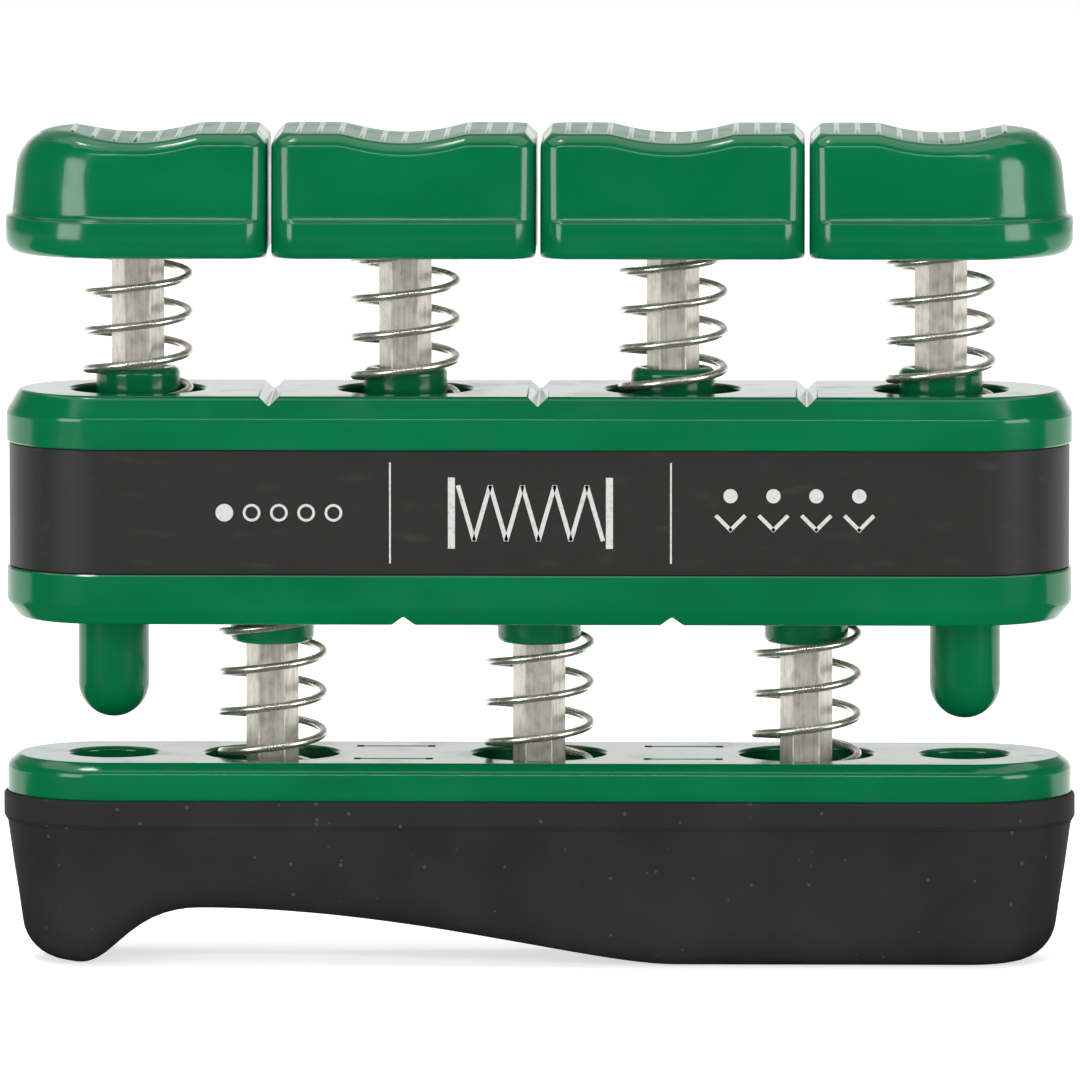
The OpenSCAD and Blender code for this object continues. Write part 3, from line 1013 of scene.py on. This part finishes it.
@dataclass
class Housing:
    """The sliding housing: two green halves with a black band round them."""

    plan: Plan
    finishes: Finishes
    band_thickness: float = 0.4
    peg_radius: float = 2.75
    peg_length: float = 7.9

    def __post_init__(self) -> None:
        """Work out the housing's levels."""
        plan = self.plan
        self.top = plan.finger_spring.low.z + plan.seat_depth
        self.bottom = plan.base_spring.high.z - plan.seat_depth
        self.parting = (plan.band.low.z + plan.band.high.z) / 2

    def upper_half(self) -> None:
        """Build the upper half, with the finger guides."""
        plan = self.plan
        half = HousingHalf(
            plan, list(plan.finger_x.values()), list(plan.base_x.values()),
            band_drop=self.top - plan.band.high.z, parting_drop=self.top - self.parting,
            edge_drop=1.95, groove_width=1.4,
        )
        bm = moved(half.shape(), z=self.top)
        finished(bm, "housing_top", "housing", self.finishes.green, ["upper_housing"])

    def lower_half(self) -> None:
        """Build the lower half, with the base guides and the guide pegs."""
        plan = self.plan
        half = HousingHalf(
            plan, list(plan.base_x.values()), [-plan.pitch / 2, plan.pitch / 2],
            band_drop=plan.band.low.z - self.bottom, parting_drop=self.parting - self.bottom,
            edge_drop=1.6, groove_width=1.7, boss_rise=2.0,
        )
        bm = moved(upside_down(half.shape(self.pegs())), z=self.bottom)
        finished(bm, "housing_bottom", "housing", self.finishes.green, ["lower_housing"])

    def pegs(self) -> BMesh:
        """Return the domed guide pegs, standing on a face that looks up."""
        radius = self.peg_radius
        foot = 0.3
        profile = [
            (radius + foot, -0.8), (radius + foot, -0.02), *arc((radius + foot, foot), foot, -90, -180, 3),
            *arc((0, self.peg_length - radius), radius, 0, 84, 12), (0.0, self.peg_length),
        ]
        x = self.plan.half_length - self.plan.peg_inset
        return gathered(moved(turned(profile, steps=56), x=s * x) for s in (-1, 1))

    def label_band(self) -> None:
        """Build the band that wraps the joint of the two halves."""
        plan = self.plan
        outer = plan.half_depth - plan.band_recess
        inner = outer - self.band_thickness
        low, high = plan.band.low.z + 0.02, plan.band.high.z - 0.02
        profile = [(inner, low), (outer - 0.1, low), (outer, low + 0.1), (outer, high - 0.1), (outer - 0.1, high),
                   (inner, high)]
        bm = turned(profile, plan.straight, closed=True, steps=96)
        finished(bm, "black_band", "housing", self.finishes.vinyl, ["label_band"])


@dataclass
class BandPrint:
    """Plain marks printed on the front of the band: rules, a spring sign and level dots."""

    plan: Plan
    finishes: Finishes
    film: float = 0.02
    rule_width: float = 0.14
    rule_height: float = 7.8
    rule_places: tuple[float, float] = (-11.35, 10.27)
    level_place: float = -19.9
    press_place: float = 19.8

    def bar(self, x: float, z: float, width: float, height: float, turn: float = 0.0) -> BMesh:
        """Return a thin printed bar centred on a place of the band, turned by an angle in degrees."""
        bm = bmesh.new()
        bmesh.ops.create_cube(bm, size=1.0)
        bmesh.ops.scale(bm, vec=(width, 2 * self.film, height), verts=bm.verts)
        bmesh.ops.rotate(bm, cent=(0, 0, 0), matrix=Matrix.Rotation(math.radians(turn), 3, "Y"), verts=bm.verts)
        return moved(bm, x, -self.plan.half_depth + self.plan.band_recess, z)

    def ring(self, x: float, z: float, outer: float, inner: float) -> BMesh:
        """Return a thin printed ring, or a dot where its inner radius is 0."""
        film = self.film
        if inner > 0:
            bm = turned([(inner, -film), (outer, -film), (outer, film), (inner, film)], closed=True, steps=36)
        else:
            bm = turned([(outer, -film), (outer, film)], steps=36)
        bmesh.ops.rotate(bm, cent=(0, 0, 0), matrix=Matrix.Rotation(math.pi / 2, 3, "X"), verts=bm.verts)
        return moved(bm, x, -self.plan.half_depth + self.plan.band_recess, z)

    def spring_sign(self, x: float, z: float) -> list[BMesh]:
        """Return a spring on its side: slanting strokes between two upright bars."""
        strokes = 9
        run, height, line = 1.24, 4.3, 0.34
        half = strokes * run / 2
        angle = math.degrees(math.atan2(run, height))
        marks = [self.bar(x + side * (half + 0.5), z, line * 1.6, height + 1.2) for side in (-1, 1)]
        for k in range(strokes):
            place = x - half + run * (k + 0.5)
            marks.append(self.bar(place, z, line, math.hypot(run, height), angle if k % 2 else -angle))
        return marks

    def press_sign(self, x: float, z: float) -> list[BMesh]:
        """Return four dots, one for each finger, each over a chevron that points down."""
        marks = []
        spacing, reach = 3.3, 1.7
        for k in range(len(FINGERS)):
            place = x + (k - 1.5) * spacing
            marks.append(self.ring(place, z + 1.35, 0.55, 0.0))
            for side in (-1, 1):
                marks.append(self.bar(place + side * 0.53, z - 0.75, 0.3, reach, side * 45))
        return marks

    def level_sign(self, x: float, z: float) -> list[BMesh]:
        """Return five circles in a row, the first one filled, for the lightest spring."""
        count, spacing, radius, line = 5, 2.1, 0.68, 0.2
        places = [x + (k - (count - 1) / 2) * spacing for k in range(count)]
        return [self.ring(place, z, radius, 0.0 if k == 0 else radius - line) for k, place in enumerate(places)]

    def build(self) -> None:
        """Build all the marks as one piece."""
        plan = self.plan
        middle = (plan.band.low.z + plan.band.high.z) / 2
        marks = [self.bar(x, middle, self.rule_width, self.rule_height) for x in self.rule_places]
        marks += self.spring_sign(sum(self.rule_places) / 2, middle)
        marks += self.level_sign(self.level_place, middle)
        marks += self.press_sign(self.press_place, middle)
        finished(gathered(marks), "band_marks", "housing", self.finishes.ink, weighted=False)


# --------------------------------------------------------------------------
# Shafts, springs and clips
# --------------------------------------------------------------------------


@dataclass
class Shaft:
    """A hexagonal shaft with softened edges and a groove for its clip."""

    plan: Plan
    finishes: Finishes
    node: str
    body: str
    clip_node: str
    edge: float = 0.10
    end_chamfer: float = 0.3
    groove_share: float = 0.80

    def build(self) -> None:
        """Build the shaft in its CAD node's place."""
        extent = Extent.of(self.node)
        clip = Extent.of(self.clip_node)
        low, high = extent.low.z, extent.high.z
        taper = 1 - 2 * self.end_chamfer / self.plan.shaft_corners
        levels = [
            (low, taper), (low + self.end_chamfer, 1), (clip.low.z, 1), (clip.low.z, self.groove_share),
            (clip.high.z, self.groove_share), (clip.high.z, 1), (high - self.end_chamfer, 1), (high, taper),
        ]
        bm = hexagon(self.plan.shaft_corners, levels)
        upright = [
            e for e in bm.edges
            if abs(e.verts[0].co.z - e.verts[1].co.z) > 2 and abs(e.verts[0].co.x - e.verts[1].co.x) < 0.01
        ]
        bmesh.ops.bevel(
            bm, geom=upright, offset=self.edge, segments=3, profile=0.5, affect="EDGES", material=-1,
            offset_type="OFFSET",
        )
        finished(
            moved(bm, x=extent.x), "hex_" + self.node, self.body, self.finishes.shaft, [self.node],
            crease=25,
        )


@dataclass
class Spring:
    """A compression spring with closed, level ends, wound right-handed."""

    plan: Plan
    finishes: Finishes
    node: str
    body: str
    joint: str
    phase: float
    turns: float
    travel: float
    wire: float = 0.62
    wire_sides: int = 12
    steps_per_turn: int = 36
    closed_turn: float = 0.5
    easing_turn: float = 0.5

    def end_rise(self, turns: float) -> float:
        """Return how far the wire has risen after some turns of a closed end, in pitches."""
        if turns <= self.closed_turn:
            return 0.0
        if turns <= self.closed_turn + self.easing_turn:
            return (turns - self.closed_turn) ** 2 / (2 * self.easing_turn)
        return turns - self.closed_turn - self.easing_turn / 2

    def rise(self, turns: float) -> float:
        """Return how far the wire has risen after some turns, in pitches."""
        if turns <= self.turns / 2:
            return self.end_rise(turns)
        return 2 * self.end_rise(self.turns / 2) - self.end_rise(self.turns - turns)

    def build(self) -> None:
        """Wind the wire step by step between its two seats."""
        extent = Extent.of(self.node)
        low, high = extent.low.z, extent.high.z
        radius = (self.plan.finger_spring.high.x - self.plan.finger_spring.low.x - self.wire) / 2
        pitch = (high - low - self.wire) / self.rise(self.turns)
        bm = bmesh.new()
        upright = Matrix.Translation((radius, 0, 0)) @ Matrix.Rotation(math.pi / 2, 4, "X")
        bmesh.ops.create_circle(bm, segments=self.wire_sides, radius=self.wire / 2, matrix=upright)
        start = Matrix.Rotation(math.radians(self.phase), 3, "Z")
        bmesh.ops.rotate(bm, cent=(0, 0, 0), matrix=start, verts=bm.verts)
        geometry = bm.verts[:] + bm.edges[:]
        steps = round(self.turns * self.steps_per_turn)
        for step in range(steps):
            before, after = (self.turns * k / steps for k in (step, step + 1))
            climb = pitch * (self.rise(after) - self.rise(before))
            made = bmesh.ops.spin(
                bm, geom=geometry, axis=(0, 0, 1), cent=(0, 0, 0), dvec=(0, 0, climb),
                angle=math.tau * (after - before), steps=1,
            )
            geometry = made["geom_last"]
        bmesh.ops.remove_doubles(bm, verts=bm.verts, dist=1e-4)
        close_up(bm)
        ends = [f for f in bm.faces if len(f.verts) == self.wire_sides]
        bmesh.ops.inset_region(bm, faces=ends, thickness=0.06, depth=0.05, use_even_offset=True)
        moved(bm, extent.x, 0, low + self.wire / 2)
        piece = finished(
            bm, "wire_" + self.node, self.body, self.finishes.wire, [self.node], crease=60,
            weighted=False,
        )
        anchor = (extent.x * MM, 0, low * MM)
        1 - self.travel / (high - low)
        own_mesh(piece)


# --------------------------------------------------------------------------
# Finger buttons
# --------------------------------------------------------------------------


class Place(Enum):
    """Where a button stands in the row."""

    LEFT_END = -1
    INSIDE = 0
    RIGHT_END = 1


@dataclass
class Button:
    """One finger button, shaped around x = 0 at its shaft with its foot at height 0."""

    plan: Plan
    finishes: Finishes
    number: int
    place: Place
    gap: float = 0.35
    corner: float = 1.75
    flange_height: float = 2.94
    flange_step: float = 0.46
    flange_blend: float = 0.30
    draft: float = 0.9
    brow: float = 1.1
    end_draft: float = 0.7
    end_brow: float = 2.9
    gap_chamfer: float = 0.8
    foot_round: float = 1.1
    dip_depth: float = 0.74
    dip_half: float = 4.7
    rib_pitch: float = 1.62
    rib_half: float = 0.2
    rib_height: float = 0.09
    rib_margin: float = 1.0
    rib_taper: float = 0.6
    end_rib_margin: float = 4.6
    gap_rib_margin: float = 1.5
    bend_step: float = 0.42
    gap_foot: float = 0.3
    gap_blend: float = 0.12
    dip_blend: float = 0.10
    seat_flare: float = 0.3

    def __post_init__(self) -> None:
        """Measure the button's CAD node."""
        plan = self.plan
        box = Extent.of(f"finger_button_{self.number}")
        self.x = plan.finger_x[self.number]
        self.low = box.low.z
        self.height = box.high.z - box.low.z
        inner = (plan.pitch - self.gap) / 2
        end = plan.half_length - abs(self.x)
        self.left = end if self.place is Place.LEFT_END else inner
        self.right = end if self.place is Place.RIGHT_END else inner

    def outline(self) -> tuple[BMesh, BMFace]:
        """Return a new shape that holds one face, the plan of the button's foot."""
        side = self.plan.half_depth
        bm = bmesh.new()
        corners = [(-self.left, -side), (self.right, -side), (self.right, side), (-self.left, side)]
        verts = [bm.verts.new((x, y, 0)) for x, y in corners]
        bm.faces.new(verts)
        for at_end, radius, segments in ((False, self.corner, 6), (True, side - 1e-3, 28)):
            chosen = [v for v in verts if v.is_valid and self.is_end(v.co.x) is at_end]
            if chosen:
                bmesh.ops.bevel(
                    bm, geom=chosen, offset=radius, segments=segments, profile=0.5, affect="VERTICES", material=-1,
                    offset_type="OFFSET",
                )
        bmesh.ops.remove_doubles(bm, verts=bm.verts, dist=0.01)
        return bm, bm.faces[:][0]

    def is_end(self, x: float) -> bool:
        """Return whether a place lies at the outer end of the row."""
        return (self.place is Place.LEFT_END and x < 0) or (self.place is Place.RIGHT_END and x > 0)

    def front_inset(self, z: float) -> float:
        """Return how far the front wall lies behind the flange at a height."""
        return self.wall_inset(z, self.draft, self.brow)

    def end_inset(self, z: float) -> float:
        """Return how far the round end lies inside the flange at a height."""
        return self.wall_inset(z, self.end_draft, self.end_brow)

    def wall_inset(self, z: float, draft: float, brow: float) -> float:
        """Return the inset of a drafted wall with a rounded foot, a step and a rounded brow.

        Args:
            z: Height above the foot.
            draft: How far the wall leans in over its height.
            brow: Radius of its upper edge.

        Returns:
            The inset from the flange's outline.
        """
        if z < self.foot_round:
            return self.foot_round * (1 - math.sqrt(max(0.0, 1 - (1 - z / self.foot_round) ** 2)))
        step = self.flange_step * self.past_flange(z)
        lean = draft * max(0.0, z - self.flange_height) / (self.height - self.flange_height)
        rise = max(0.0, z - self.height + brow) / brow
        return step + lean + brow * (1 - math.sqrt(max(0.0, 1 - rise * rise)))

    def past_flange(self, z: float) -> float:
        """Return 0 on the flange and 1 on the wall above it, blended over the step."""
        return eased((z - self.flange_height) / self.flange_blend + 0.5)

    def gap_inset(self, z: float) -> float:
        """Return the inset of a side that faces a neighbouring button, with its flat chamfer."""
        foot = self.gap_foot
        if z < foot:
            return foot - math.sqrt(max(0.0, foot * foot - (foot - z) ** 2))
        cut = z - self.height + self.gap_chamfer
        soft = self.gap_blend
        return (cut + math.sqrt(cut * cut + soft * soft)) / 2

    def levels(self) -> list[float]:
        """Return the heights of the rings that the sides are built of."""
        foot = [self.foot_round * (1 - math.cos(math.radians(a))) for a in range(0, 91, 15)]
        step = [self.flange_height + self.flange_blend * k / 8 for k in range(-4, 5)]
        wall = [self.flange_height + self.flange_blend / 2 + 0.5 * k for k in range(1, 7)]
        brow = [self.height - self.end_brow * (1 - math.sin(math.radians(a))) for a in range(0, 91, 9)]
        top = [self.height - self.brow * (1 - math.sin(math.radians(a))) for a in range(0, 90, 15)]
        return sorted({round(z, 3) for z in (*foot, *step, *wall, *brow, *top)})

    def body(self) -> BMesh:
        """Return the button's outside: rings of its outline, one above the other."""
        bm, face = self.outline()
        side = self.plan.half_depth
        left, right, depth, height = -self.left, self.right, side, 0.0
        levels = self.levels()
        rings = [(z, self.front_inset(z), self.gap_inset(z), self.end_inset(z)) for z in levels]
        top = rings[-1]
        for margin in (self.rib_margin - self.rib_taper, self.rib_margin):
            rings.append((top[0], top[1] + margin, top[2] + 0.2 + margin * 0.1, top[3] + margin))
        for number, (z, front, gap, end) in enumerate(rings):
            if number:
                face = lifted(bm, face)
            new_left = -self.left + (end if self.place is Place.LEFT_END else gap)
            new_right = self.right - (end if self.place is Place.RIGHT_END else gap)
            ring = list(face.verts)
            stretch = (new_right - new_left) / (right - left)
            bmesh.ops.translate(bm, vec=(-left, 0, 0), verts=ring)
            bmesh.ops.scale(bm, vec=(stretch, (side - front) / depth, 1), verts=ring)
            bmesh.ops.translate(bm, vec=(new_left, 0, z - height), verts=ring)
            left, right, depth, height = new_left, new_right, side - front, z
        bmesh.ops.recalc_face_normals(bm, faces=bm.faces)
        return bm

    def rib_places(self) -> list[float]:
        """Return the places of the ribs across the finger rest."""
        reach_left = self.left - (self.end_rib_margin if self.place is Place.LEFT_END else self.gap_rib_margin)
        reach_right = self.right - (self.end_rib_margin if self.place is Place.RIGHT_END else self.gap_rib_margin)
        steps = range(-math.floor(reach_left / self.rib_pitch), math.floor(reach_right / self.rib_pitch) + 1)
        return [k * self.rib_pitch for k in steps]

    def dip(self, x: float) -> float:
        """Return the depth of the finger rest at a place along X."""
        share = abs(x) / self.dip_half
        bowl = self.dip_depth * (1 - share * share)
        soft = self.dip_blend
        return (bowl + math.sqrt(bowl * bowl + soft * soft)) / 2 - soft * soft / (4 * self.dip_depth)

    def shape_top(self, bm: BMesh) -> None:
        """Hollow the finger rest and raise its ribs."""
        ribs = self.rib_places()
        crest = self.rib_half * 0.3
        cuts = [rib + d * self.rib_half for rib in ribs for d in (-1, -0.65, -0.3, 0.3, 0.65, 1)]
        bends = [self.bend_step * k for k in range(-15, 16)]
        cuts += [b for b in bends if all(abs(b - c) > 0.09 for c in cuts)]
        sliced(bm, sorted(c for c in cuts if -self.left + 0.3 < c < self.right - 0.3))
        rest_half = self.plan.half_depth - self.front_inset(self.height) - self.rib_margin
        for vert in bm.verts:
            x, y, z = vert.co
            hold = eased((z - self.flange_height - 0.6) / (self.height - self.brow - self.flange_height - 0.6))
            lift = 0.0
            if abs(z - self.height) < 1e-3 and abs(y) <= rest_half + 0.02:
                near = min(abs(x - rib) for rib in ribs)
                lift = self.rib_height * (1 - eased((near - crest) / (self.rib_half - crest)))
            vert.co.z = z - hold * self.dip(x) + lift

    def fade_flange(self, bm: BMesh) -> None:
        """Let the flange run out where the corners at the gaps begin."""
        depth = self.plan.half_depth
        for vert in bm.verts:
            if vert.co.z > self.flange_height + self.flange_blend / 2:
                continue
            gap = min(
                vert.co.x + self.left if self.place is not Place.LEFT_END else depth,
                self.right - vert.co.x if self.place is not Place.RIGHT_END else depth,
            )
            near = 1 - eased(gap / (1.3 * self.corner))
            proud = self.flange_step * (1 - self.past_flange(vert.co.z))
            vert.co.y *= 1 - near * proud / depth

    def build(self) -> None:
        """Build the button in its place."""
        bm = self.body()
        self.fade_flange(bm)
        self.shape_top(bm)
        seat = self.plan.finger_spring.high.z - self.low
        radius, flare = self.plan.seat_radius, self.seat_flare
        profile = [(radius + flare, -1), *arc((radius + flare, flare), flare, -90, -180, 3), (radius, seat)]
        bm = combined(bm, turned(profile, steps=64), Operation.CUT)
        top = Extent.of(f"finger_shaft_{self.number}").high.z - self.low
        bm = combined(bm, hexagon(self.plan.shaft_corners, [(0, 1), (top, 1)]), Operation.CUT)
        self.mark_rest(bm)
        piece = finished(
            moved(bm, self.x, 0, self.low), f"green_button_{self.number}", f"finger_{self.number}",
            self.finishes.green, [f"finger_button_{self.number}"], weighted=False,
        )
        piece.data.materials.append(self.finishes.rest)
        piece.data.materials.append(self.finishes.rib)

    def mark_rest(self, bm: BMesh) -> None:
        """Give the finger rest its own finish, the button's second, and its ribs the third."""
        ribs = self.rib_places()
        reach = self.plan.half_depth - self.front_inset(self.height) + 0.03
        rib_reach = reach - self.rib_margin + self.rib_taper / 2
        for face in bm.faces:
            x, y, z = face.calc_center_median()
            flat = face.normal.z > 0.75 and z > self.height - self.dip_depth - 0.1 and abs(y) < reach
            inside = -self.left + self.side_margin(True) < x < self.right - self.side_margin(False)
            ribbed = min(abs(x - rib) for rib in ribs) < self.rib_half and abs(y) < rib_reach
            face.material_index = (2 if ribbed else 1) if flat and inside else 0

    def side_margin(self, left: bool) -> float:
        """Return how far the finger rest stays from one end of the button."""
        at_end = self.place is (Place.LEFT_END if left else Place.RIGHT_END)
        return self.end_draft + self.flange_step + 0.55 * self.end_brow if at_end else self.gap_chamfer


# --------------------------------------------------------------------------
# Studio
# --------------------------------------------------------------------------


@dataclass
class Studio:
    """Pale floor, dark card, soft lights, dim room and the camera."""

    finishes: Finishes
    camera_place: tuple[float, float, float] = (0.0202, -1.150, 0.1573)
    camera_aim: tuple[float, float, float] = (0.0002, -0.008, 0.0335)
    field: float = 0.08308
    sensor: float = 36.0
    room: float = 0.06
    wall_span: tuple[float, float] = (0.45, 0.97)
    wall_fade: tuple[float, float] = (0.16, 0.32)
    wall_glow: float = 1.25
    ceiling: float = 0.25

    @staticmethod
    def sheet(name: str, half_size: Point, y: float, z: float, finish: bpy.types.Material) -> bpy.types.Object:
        """Lay a level sheet that isn't part of the object.

        Args:
            name: The sheet's name.
            half_size: Half its length along X and along Y, in metres.
            y: Place of its middle along Y.
            z: Its height.
            finish: Its material.

        Returns:
            The sheet.
        """
        bm = bmesh.new()
        bmesh.ops.create_grid(bm, x_segments=1, y_segments=1, size=1.0)
        bmesh.ops.scale(bm, vec=(*half_size, 1), verts=bm.verts)
        bmesh.ops.translate(bm, vec=(0, y, z), verts=bm.verts)
        mesh = bpy.data.meshes.new(name)
        bm.to_mesh(mesh)
        bm.free()
        mesh.materials.append(finish)
        item = bpy.data.objects.new(name, mesh)
        bpy.context.collection.objects.link(item)
        return item

    def floor(self) -> None:
        """Lay a wide sheet of pale paper under the object."""
        self.sheet("studio_floor", (3.0, 3.0), 0.0, 0.0, self.finishes.paper)

    def card(self) -> None:
        """Lay a dark card in front of the object, seen only in reflections."""
        card = self.sheet("dark_card", (1.5, 0.76), -0.73, 0.0001, self.finishes.card)
        card.visible_camera = False
        card.visible_diffuse = False
        card.visible_shadow = False

    def panel(
        self, name: str, place: Sequence[float], size: tuple[float, float], radiance: float,
        aim: Sequence[float] = (0.0, 0.0, 0.035),
    ) -> None:
        """Hang a soft light panel.

        Args:
            name: The light's name.
            place: Where its middle hangs, in metres.
            size: Its width and height in metres.
            radiance: How bright it looks.
            aim: The point it faces.
        """
        light = bpy.data.lights.new(name, "AREA")
        light.shape = "RECTANGLE"
        light.size, light.size_y = size
        light.energy = radiance * math.pi * size[0] * size[1]
        lamp = bpy.data.objects.new(name, light)
        lamp.location = place
        lamp.rotation_euler = (Vector(aim) - Vector(place)).to_track_quat("-Z", "Y").to_euler()
        lamp.visible_camera = False
        bpy.context.collection.objects.link(lamp)

    def lights(self) -> None:
        """Hang the panels."""
        self.panel("top_panel", (0.0, 0.05, 1.0), (1.6, 1.3), 1.45)
        self.panel("top_lamp", (-0.27, -0.06, 0.96), (0.16, 0.16), 22.0)
        self.panel("left_panel", (-0.71, -0.71, 0.20), (0.46, 0.52), 6.0)
        self.panel("right_panel", (0.83, -0.56, 0.20), (0.50, 0.52), 6.0)
        self.panel("front_bar", (0.0, -1.1, 0.72), (1.3, 0.06), 12.0)

    def surroundings(self) -> None:
        """Set a dim room whose back wall glows just above the horizon."""
        world = bpy.data.worlds.new("pale_room")
        nodes = Nodes(world)
        where = nodes.node("TexCoord").outputs["Generated"]
        split = nodes.node("SeparateXYZ", {}, {0: where})
        behind = Value(nodes, split.outputs["Y"]).between(*self.wall_span)
        above = Value(nodes, split.outputs["Z"]).between(*self.wall_fade, 1.0, self.ceiling)
        glow = behind * above * self.wall_glow + self.room
        background = nodes.node("Background", {}, {"Color": (1.0, 1.0, 1.0, 1.0), "Strength": glow})
        nodes.node("OutputWorld", {}, {"Surface": background.outputs[0]})
        bpy.context.scene.world = world
        bpy.context.scene.view_settings.view_transform = "Standard"

    def camera(self) -> None:
        """Place the camera in front of the object, a little above it."""
        place, aim = Vector(self.camera_place), Vector(self.camera_aim)
        data = bpy.data.cameras.new("studio_camera")
        data.sensor_width = self.sensor
        data.lens = self.sensor * (aim - place).length / self.field
        data.clip_start, data.clip_end = 0.01, 20.0
        item = bpy.data.objects.new("studio_camera", data)
        item.location = place
        item.rotation_euler = (aim - place).to_track_quat("-Z", "Y").to_euler()
        bpy.context.collection.objects.link(item)
        bpy.context.scene.camera = item


# --------------------------------------------------------------------------
# Assembly
# --------------------------------------------------------------------------


@dataclass
class Winding:
    """Start angles in degrees and turn counts of the springs."""

    finger_phase: tuple[float, ...] = (125, 185, 285, 210)
    base_phase: tuple[float, ...] = (315, 225, 145)
    finger_turns: float = 6.4
    base_turns: float = 6.65


def dress_clips(frame: dict, finishes: Finishes) -> None:
    """Give the hidden retaining clips, which keep their CAD shape, a finish of their own."""
    for name, node in frame["nodes"].items():
        if "_clip_" in name:
            for material_slot in node.material_slots:
                material_slot.material = finishes.clip


def travel_of(frame: dict, joint: str) -> float:
    """Return a slide joint's travel in millimetres."""
    found = next(j for j in frame["joints"] if j["name"] == joint)
    return found["range_m"][1] / MM


def main() -> None:
    """Load the frame and build the object around it, piece by piece."""
    logging.basicConfig(level=logging.INFO, format="%(name)s %(message)s")
    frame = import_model()
    finishes = Finishes()
    studio = Studio(finishes)
    studio.camera()
    studio.floor()
    studio.card()
    studio.lights()
    studio.surroundings()
    plan = Plan()
    palm_bar = PalmBar(plan, finishes)
    palm_bar.grip()
    palm_bar.base_plate()
    housing = Housing(plan, finishes)
    housing.upper_half()
    housing.lower_half()
    housing.label_band()
    BandPrint(plan, finishes).build()
    winding = Winding()
    for i in FINGERS:
        place = {1: Place.LEFT_END, 4: Place.RIGHT_END}.get(i, Place.INSIDE)
        Button(plan, finishes, i, place).build()
        Shaft(plan, finishes, f"finger_shaft_{i}", f"finger_{i}", f"finger_clip_{i}").build()
        joint = f"finger_slide_{i}"
        Spring(
            plan, finishes, f"finger_spring_{i}", "housing", joint, winding.finger_phase[i - 1],
            winding.finger_turns, travel_of(frame, joint),
        ).build()
    for i in BASES:
        Shaft(plan, finishes, f"base_shaft_{i}", "base", f"base_clip_{i}").build()
        Spring(
            plan, finishes, f"base_spring_{i}", "base", "housing_slide", winding.base_phase[i - 1],
            winding.base_turns, travel_of(frame, "housing_slide"),
        ).build()
    dress_clips(frame, finishes)


if __name__ == "__main__":
    main()
